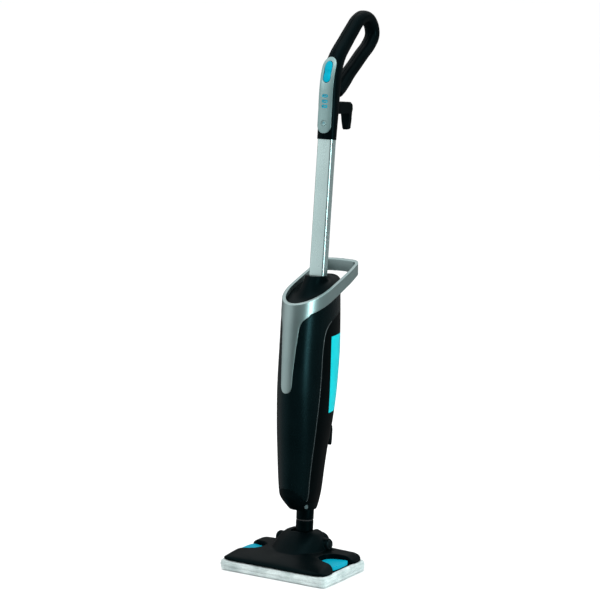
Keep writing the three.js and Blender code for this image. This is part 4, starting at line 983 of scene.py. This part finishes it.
def make_deck():
    base = [(x, y) for x, y, _ in body_ring(620, 0, 112)]

    def mixed(k):
        return [(x * k, 103 + (y - 103) * k) for x, y in base]

    def deck_top(y):
        return band_top(y) - 11
    key = [[(x, y, deck_top(y) - 1.5) for x, y in mixed(1)], [(x, y, deck_top(y)) for x, y in mixed(0.96)], [(x, y, deck_top(y) + 1.5) for x, y in mixed(0.8)],
           [(x, y, deck_top(y) + 5) for x, y in mixed(0.62)], [(x, y, deck_top(y) * 0.35 + 637 * 0.65) for x, y in mixed(0.46)],
           [(x, y * 0.75 + 103 * 0.25, 645 + (y - 103) * -0.06) for x, y in mixed(0.42)]]
    K = np.array(key)
    rings = [np.array([(x, y, band_low(y)) for x, y in base])]
    for i in range(len(K) - 1):
        p0, p1, p2, p3 = K[max(i - 1, 0)], K[i], K[i + 1], K[min(i + 2, len(K) - 1)]
        for j in range(5):
            t = j / 5
            rings.append(0.5 * ((2 * p1) + (-p0 + p2) * t + (2 * p0 - 5 * p1 + 4 * p2 - p3) * t * t + (-p0 + 3 * p1 - 3 * p2 + p3) * t ** 3))
    rings.append(K[-1])
    deck = loft("top_deck_moulding", rings)
    room = boolean(ring_loft(-4), ring_loft(RING_T + 0.35))
    deck = boolean(deck, room)
    deck = boolean(deck, along_tube(38.8, 21.8, 5.4, -60, 60))
    under = boolean(body_loft(9, 540, 612), below(band_low, 14), "INTERSECT")
    deck = boolean(deck, under)
    remesh(deck, 0.9, 4)
    return deck


finish_piece(make_deck(), "main", "black_plastic", BLACK, "top_deck", angle=None)

pole = along_tube(38, 21, 5, -26, TUBE_LEN + 34, 14, "pole_tube_extrusion", 24)
pole = boolean(pole, along_tube(35, 18, 3.5, -30, TUBE_LEN + 40, 14))
finish_piece(pole, "main", "pole_aluminium", ALU, "pole_tube", angle=30)

# ------------------------------------------------------------------ handle
GRIP_A = [(137.5, 940.8, 44, 29), (142, 975, 44, 32), (146.5, 1005, 43.5, 34.5), (150.5, 1035, 42.5, 37.5), (155.8, 1064, 41, 39), (163.5, 1092, 38.5, 37),
          (182, 1121, 35.5, 33), (212, 1149, 33.5, 31), (241, 1174.5, 33, 29.5), (264, 1193, 33, 28), (287, 1201, 33, 27.5)]
GRIP_B = [(270, 1196.5, 33, 27.5), (287, 1201, 33, 27.5), (309, 1194, 33, 27.5), (324, 1176, 33, 27.5), (326, 1157, 33, 27), (309, 1136.5, 33, 26.5),
          (280, 1117, 33, 26.5), (250, 1096, 33, 26.5), (225, 1079, 33, 27.5), (205, 1064, 34.5, 29.5), (188, 1052, 36, 30), (170, 1041, 37.5, 26)]


class Path:
    """Centre line of the grip through (y, z) points, with the section's width and depth along it."""

    def __init__(self, table):
        self.p = [np.array(r[:2], float) for r in table]
        u = [i / (len(table) - 1) for i in range(len(table))]
        self.w, self.d = curve(u, [r[2] for r in table]), curve(u, [r[3] for r in table])

    def point(self, t):
        P, n = self.p, len(self.p)
        q = (n - 1) * min(max(t, 0.0), 1.0)
        i = min(int(q), n - 2)
        w = q - i
        p1, p2 = P[i], P[i + 1]
        p0 = P[i - 1] if i > 0 else 2 * P[0] - P[1]
        p3 = P[i + 2] if i + 2 < n else 2 * P[-1] - P[-2]
        a, b, c = (float(np.hypot(*(q1 - q0))) ** 0.5 for q0, q1 in ((p0, p1), (p1, p2), (p2, p3)))
        t1 = ((p1 - p0) / a - (p2 - p0) / (a + b) + (p2 - p1) / b) * b
        t2 = ((p2 - p1) / b - (p3 - p1) / (b + c) + (p3 - p2) / c) * b
        return p1 + t1 * w + (-3 * p1 + 3 * p2 - 2 * t1 - t2) * w * w + (2 * p1 - 2 * p2 + t1 + t2) * w ** 3

    def at(self, t):
        P = self.point(t)
        T = self.point(min(t + 1e-4, 1)) - self.point(max(t - 1e-4, 0))
        T /= np.hypot(*T)
        return P, np.array([-T[1], T[0]]), self.w(t), self.d(t)

    def at_height(self, z):
        lo, hi = 0.0, 1.0
        for _ in range(40):
            m = (lo + hi) / 2
            if self.point(m)[1] < z:
                lo = m
            else:
                hi = m
        return lo


path_a, path_b = Path(GRIP_A), Path(GRIP_B)


def grip_ring(f, inset, front, n=72, e=0.8):
    P, N, w, d = f
    a, b0, bf = w / 2 - inset, d / 2 - inset, d / 2 - front
    pts = []
    for i in range(n):
        t = i / n * 2 * math.pi
        c, s = math.cos(t), math.sin(t)
        k = (bf if s > 0 else b0) * math.copysign(abs(s) ** e, s)
        pts.append((a * math.copysign(abs(c) ** e, c), P[0] + N[0] * k, P[1] + N[1] * k))
    return pts


def grip_loft(path, steps, name):
    return loft(name, [grip_ring(path.at(i / steps), 0, 0) for i in range(steps + 1)])


def strip(z0, z1, w, out, inn, crown, name="strip", lift=None, m=22, steps=60):
    """A strip on the front of the housing with round ends and a crowned face."""
    r = w / 2
    zs = [z0 + r * (1 - math.cos(a)) for a in np.linspace(0.14, math.pi / 2, 12)][:-1]
    zs += list(np.linspace(z0 + r, z1 - r, steps))
    zs += [z1 - r * (1 - math.cos(a)) for a in np.linspace(math.pi / 2, 0.14, 12)][1:]
    rings = []
    for z in zs:
        e = min(z - z0, z1 - z)
        ww = r if e >= r else math.sqrt(max(0.0, 1 - (1 - e / r) ** 2)) * r
        P, N, _, d = path_a.at(path_a.at_height(z))
        face = d / 2 + out + (lift(z) if lift else 0.0)
        ring = [(-ww, d / 2 - inn)]
        for k in np.linspace(-1, 1, m):
            ring.append((ww * k, face - crown * (abs(k) * ww / r) ** 3))
        ring.append((ww, d / 2 - inn))
        rings.append([(x, P[0] + N[0] * q, P[1] + N[1] * q) for x, q in ring])
    return loft(name, rings)


f86 = path_a.at(path_a.at_height(1081))
ROCKER_P = (0, f86[0][0] + f86[1][0] * (f86[3] / 2 - 5), f86[0][1] + f86[1][1] * (f86[3] / 2 - 5))
f978 = path_a.at(path_a.at_height(975))
POWER_P = Vector((0, f978[0][0] + f978[1][0] * f978[3] / 2, f978[0][1] + f978[1][1] * f978[3] / 2))
POWER_N = Vector((0, f978[1][0], f978[1][1]))
HOOK_Z = 1007.0
HOOK_DIR = (0, 0.9932, -0.1166)

handle = boolean(grip_loft(path_a, 70, "handle_casing"), grip_loft(path_b, 90, "loop"), "UNION")
top = path_a.at_height(1104)
P0, N0, w0, d0 = path_a.at(0)
rings = [grip_ring((P0 + np.array([-0.6, -6.0]), N0, w0, d0), 2.7, 4.6, 48, 0.7)] + [grip_ring(path_a.at(top * i / 30), 2.7, 4.6, 48, 0.7) for i in range(31)]
handle = boolean(handle, loft("cavity", rings))
handle = boolean(handle, along_tube(38.8, 21.8, 5.4, TUBE_LEN - 40, TUBE_LEN + 36))
handle = boolean(handle, strip(952.9, 1110.1, 35.6, 12, 2.4, 0))
handle = boolean(handle, strip(1060.5, 1102.0, 19.8, 12, 12, 0))
handle = boolean(handle, rod(6.9, tuple(POWER_P - POWER_N * 8), POWER_N, 20, 64))
handle = boolean(handle, rod(5.3, (0, 130, HOOK_Z + 5), HOOK_DIR, 50, 48))
handle = boolean(handle, rod(1.9, (-12.6, ROCKER_P[1], ROCKER_P[2]), (1, 0, 0), 25.2, 24))
for y, z in ((291, 1200), (199, 1058)):
    handle = boolean(handle, rod(3.6, (-30, y, z), (1, 0, 0), 19, 48))
    handle = boolean(handle, rod(1.8, (-30, y, z), (1, 0, 0), 40, 24))
for side, nm in ((-1, "left"), (1, "right")):
    half = copy_of(handle, "handle_casing_" + nm)
    x0, x1 = (-60, -GAP / 2) if side < 0 else (GAP / 2, 60)
    half = boolean(half, block(x0, x1, 60, 400, 900, 1300), "INTERSECT")
    remesh(half, 0.8, 3)
    finish_piece(half, "main", "black_plastic", BLACK, "handle_shell_" + nm, angle=None)
remove(handle)


panel = strip(953.5, 1109.5, 34.6, 1.8, 2.1, 2.2, "control_panel_plate")
panel = boolean(panel, strip(1060.6, 1101.9, 19.6, 12, 12, 0))
panel = boolean(panel, rod(6.6, tuple(POWER_P - POWER_N * 8), POWER_N, 20, 96))


def face_frame(z):
    P, N, _, d = path_a.at(path_a.at_height(z))
    o = Vector((0, P[0] + N[0] * d / 2, P[1] + N[1] * d / 2))
    return o, Vector((1, 0, 0)), Vector((0, N[1], -N[0])), Vector((0, N[0], N[1]))


for z in (1011.5, 1022.5, 1033.5):
    o, X, U, N = face_frame(z)
    pts = round_rect(14.5, 6.5, 3.2, 12)
    room = loft("room", [[tuple(o + X * x + U * y + N * h) for x, y in pts] for h in (0.4, 8.4)])
    panel = boolean(panel, room)
PANEL = surface("panel_paint", (0.17, 0.27, 0.27), (0.19, 0.30, 0.30), 0.34, 0.05, metallic=0.65, grain=2600, grain_h=0.00001, edge=0.0006, painted_edge_highlight=0.06, coat=0.3)
remesh(panel, 0.42, 3)
finish_piece(panel, "main", "silver_paint", PANEL, "control_panel", angle=None)

for i, z in enumerate((1011.5, 1022.5, 1033.5)):
    o, X, U, N = face_frame(z)
    path = resample(round_rect(11.8, 4.2, 2.05, 16), 120)
    nx = np.roll(path, -1, 0) - np.roll(path, 1, 0)
    nx /= np.hypot(*nx.T)[:, None]
    v, f = [], []
    m = 20
    for j in range(len(path)):
        out = np.array([nx[j][1], -nx[j][0]])
        for k in range(m):
            a = 2 * math.pi * k / m
            e = 0.75
            dx = 1.02 * math.copysign(abs(math.cos(a)) ** e, math.cos(a))
            dz = 0.8 * math.copysign(abs(math.sin(a)) ** e, math.sin(a))
            p = path[j] + out * dx
            v.append(tuple(o + X * p[0] + U * p[1] + N * (1.5 + dz)))
    for j in range(len(path)):
        for k in range(m):
            a, b2 = j * m + k, j * m + (k + 1) % m
            c, d2 = ((j + 1) % len(path)) * m + (k + 1) % m, ((j + 1) % len(path)) * m + k
            f.append((a, b2, c, d2))
    lens = new_object("mode_light_%d" % (i + 1), v, f)
    finish_piece(lens, "main", "cyan_plastic", CYAN, "mode_lens_%d" % (i + 1), angle=None)
    lens.data.shade_smooth()


def rocker_lift(z):
    # two pads with a saddle between them
    return -1.9 * math.exp(-((z - 1081.5) / 4.5) ** 2) + 0.3 * math.exp(-((z - 1071) / 4) ** 2) + 0.3 * math.exp(-((z - 1091) / 4) ** 2)


rocker = strip(1061.5, 1101, 18, 3.6, 7, 1.9, "steam_rocker_key", rocker_lift)
rocker = boolean(rocker, rod(1.9, (-20, ROCKER_P[1], ROCKER_P[2]), (1, 0, 0), 40, 24))
remesh(rocker, 0.5, 7)
finish_piece(rocker, "rocker", "cyan_plastic", CYAN, "steam_rocker", angle=None)

button = turned("power_button_turned", [(0, 0), (6.2, 0), (6.2, 4.6), (6.05, 5.1), (5.7, 5.45), (5.2, 5.6), (4.6, 5.5), (3.6, 5.25), (2, 5.05), (0, 5.0)], tuple(POWER_P - POWER_N * 3.4), POWER_N, 96)
finish_piece(button, "power", "silver_paint", PANEL, "power_button", angle=40)


def power_mark():
    U = Vector((0, POWER_N.z, -POWER_N.y))
    o = POWER_P + POWER_N * 1.75
    v, f = [], []

    def ribbon(pts, w):
        b0 = len(v)
        for k, p in enumerate(pts):
            a, b2 = np.array(pts[max(0, k - 1)]), np.array(pts[min(len(pts) - 1, k + 1)])
            t = (b2 - a) / np.hypot(*(b2 - a))
            n = np.array([-t[1], t[0]]) * w / 2
            for q in (np.array(p) - n, np.array(p) + n):
                for h in (-0.25, 0.12):
                    v.append(tuple(o + Vector((1, 0, 0)) * q[0] + U * q[1] + POWER_N * h))
        for k in range(len(pts) - 1):
            c = b0 + 4 * k
            for a, b2 in ((0, 1), (1, 3), (3, 2), (2, 0)):
                f.append((c + a, c + b2, c + b2 + 4, c + a + 4))
        f.append((b0, b0 + 2, b0 + 3, b0 + 1))
        e = b0 + 4 * (len(pts) - 1)
        f.append((e, e + 1, e + 3, e + 2))
    ribbon([(2.1 * math.sin(a), 2.1 * math.cos(a)) for a in np.linspace(0.62, 2 * math.pi - 0.62, 40)], 0.5)
    ribbon([(0, 0.5), (0, 2.9)], 0.5)
    return new_object("power_button_mark", v, f)


mark = power_mark()
finish_piece(mark, "power", "cyan_plastic", CYAN, angle=30)

# upper cord hook
stem = prism("upper_cord_hook_moulding", [(168.5, 1021), (167, 994.5), (222, 992), (227, 1000), (226, 1011), (218, 1017.5)], -12, 12, "x")
prong = prism("prong", [(-12, 1004), (-9.5, 975), (-7, 959), (-4.5, 956), (4.5, 956), (7, 959), (9.5, 975), (12, 1004)], 212, 225.5, "y")
hook = boolean(stem, prong, "UNION")
hook = boolean(hook, block(-1.1, 1.1, 200, 240, 940, 968))
hook = boolean(hook, rod(5.2, (0, 150, HOOK_Z + 5 - 2.35), HOOK_DIR, 52, 48))
remesh(hook, 0.7, 6)
finish_piece(hook, "upper_hook", "black_plastic", BLACK, "upper_cord_hook", angle=None)

# ------------------------------------------------------------------ hoses and wires inside the casing


def hose(name, pts, r, body, node, ribs=0.0, pitch=3.0):
    P = [np.array(p, float) for p in pts]
    line = []
    for i in range(len(P) - 1):
        p0, p1, p2, p3 = P[max(i - 1, 0)], P[i], P[i + 1], P[min(i + 2, len(P) - 1)]
        k = max(4, int(np.linalg.norm(p2 - p1) / 1.2))
        for j in range(k):
            t = j / k
            line.append(0.5 * ((2 * p1) + (-p0 + p2) * t + (2 * p0 - 5 * p1 + 4 * p2 - p3) * t * t + (-p0 + 3 * p1 - 3 * p2 + p3) * t ** 3))
    line.append(P[-1])
    rings, s, up = [], 0.0, np.array([1.0, 0, 0])
    for i, c in enumerate(line):
        t = line[min(i + 1, len(line) - 1)] - line[max(i - 1, 0)]
        t = t / np.linalg.norm(t)
        up = up - t * up.dot(t)
        up /= np.linalg.norm(up)
        side = np.cross(t, up)
        rr = r + ribs * math.sin(2 * math.pi * s / pitch)
        rings.append([tuple(c + up * rr * math.cos(a) + side * rr * math.sin(a)) for a in np.linspace(0, 2 * math.pi, 24, endpoint=False)])
        if i < len(line) - 1:
            s += float(np.linalg.norm(line[i + 1] - c))
    o = loft(name, rings)
    return finish_piece(o, body, "rubber", RUBBER, node, angle=40)


hose("feed_hose_tube", [(0, 108, 339), (0, 107.6, 332), (0, 96, 322), (0, 74, 321), (0, 57, 336), (0, 55.5, 370), (0, 56, 408), (0, 54.5, 422), (0, 49.6, 427.5)], 2.95, "main", "feed_hose")
hose("pressure_hose_tube", [(10, 30, 399.6), (10, 33, 378), (10, 33, 340), (10, 30, 314.5)], 2.45, "main", "pressure_hose")
hose("steam_hose_tube", [(0, 30, 205.2), (0, 31.6, 192), (0, 46, 172), (0, 52.4, 157), (0, 53.8, 144.6)], 3.35, "main", "steam_hose", 0.12)
hose("wiring_loom_sleeve", [(0, 147, 995), (0, 142.9, 980), (0, 138.2, 940), (0, 120.6, 790), (0, 103, 640), (0, 99.5, 610), (-6, 88, 575), (-22, 58, 535), (-25, 40, 490), (-25, 32, 455)], 2.45, "main", "wiring_loom", 0.12, 2.4)

# ------------------------------------------------------------------ pieces that keep their CAD shape
KEEP = {
    "sole_plate": CHARCOAL, "clamp_pin_left": STEEL, "clamp_pin_right": STEEL, "hinge_axle": STEEL, "steam_manifold": WHITE_P, "steam_nozzle": BRASS,
    "head_screw_1": STEEL, "head_screw_2": STEEL, "head_screw_3": STEEL, "head_screw_4": STEEL, "hinge_bush_left": WHITE_P, "hinge_bush_right": WHITE_P,
    "swivel_retainer": CHARCOAL, "tank_valve": CHARCOAL, "valve_seat": RUBBER, "boiler": CAST, "boiler_thermostat": WHITE_P, "water_pump": WHITE_P,
    "casing_screw_left": DARK_STEEL, "casing_screw_right": DARK_STEEL, "handle_screw_1": STEEL, "handle_screw_2": STEEL, "rocker_pin": STEEL, "control_board": BOARD, "hook_pin": STEEL,
}
for name, mat in KEEP.items():
    o = bpy.data.objects[name] if name in bpy.data.objects else None
    o = frame["nodes"][name] if isinstance(frame["nodes"], dict) else o
    o.data.materials.clear()
    o.data.materials.append(mat)
    shade(o, 30)
    bv = o.modifiers.new("edges", "BEVEL")
    bv.width = 0.0003
    bv.segments = 2
    bv.limit_method = "ANGLE"
    bv.angle_limit = math.radians(40)
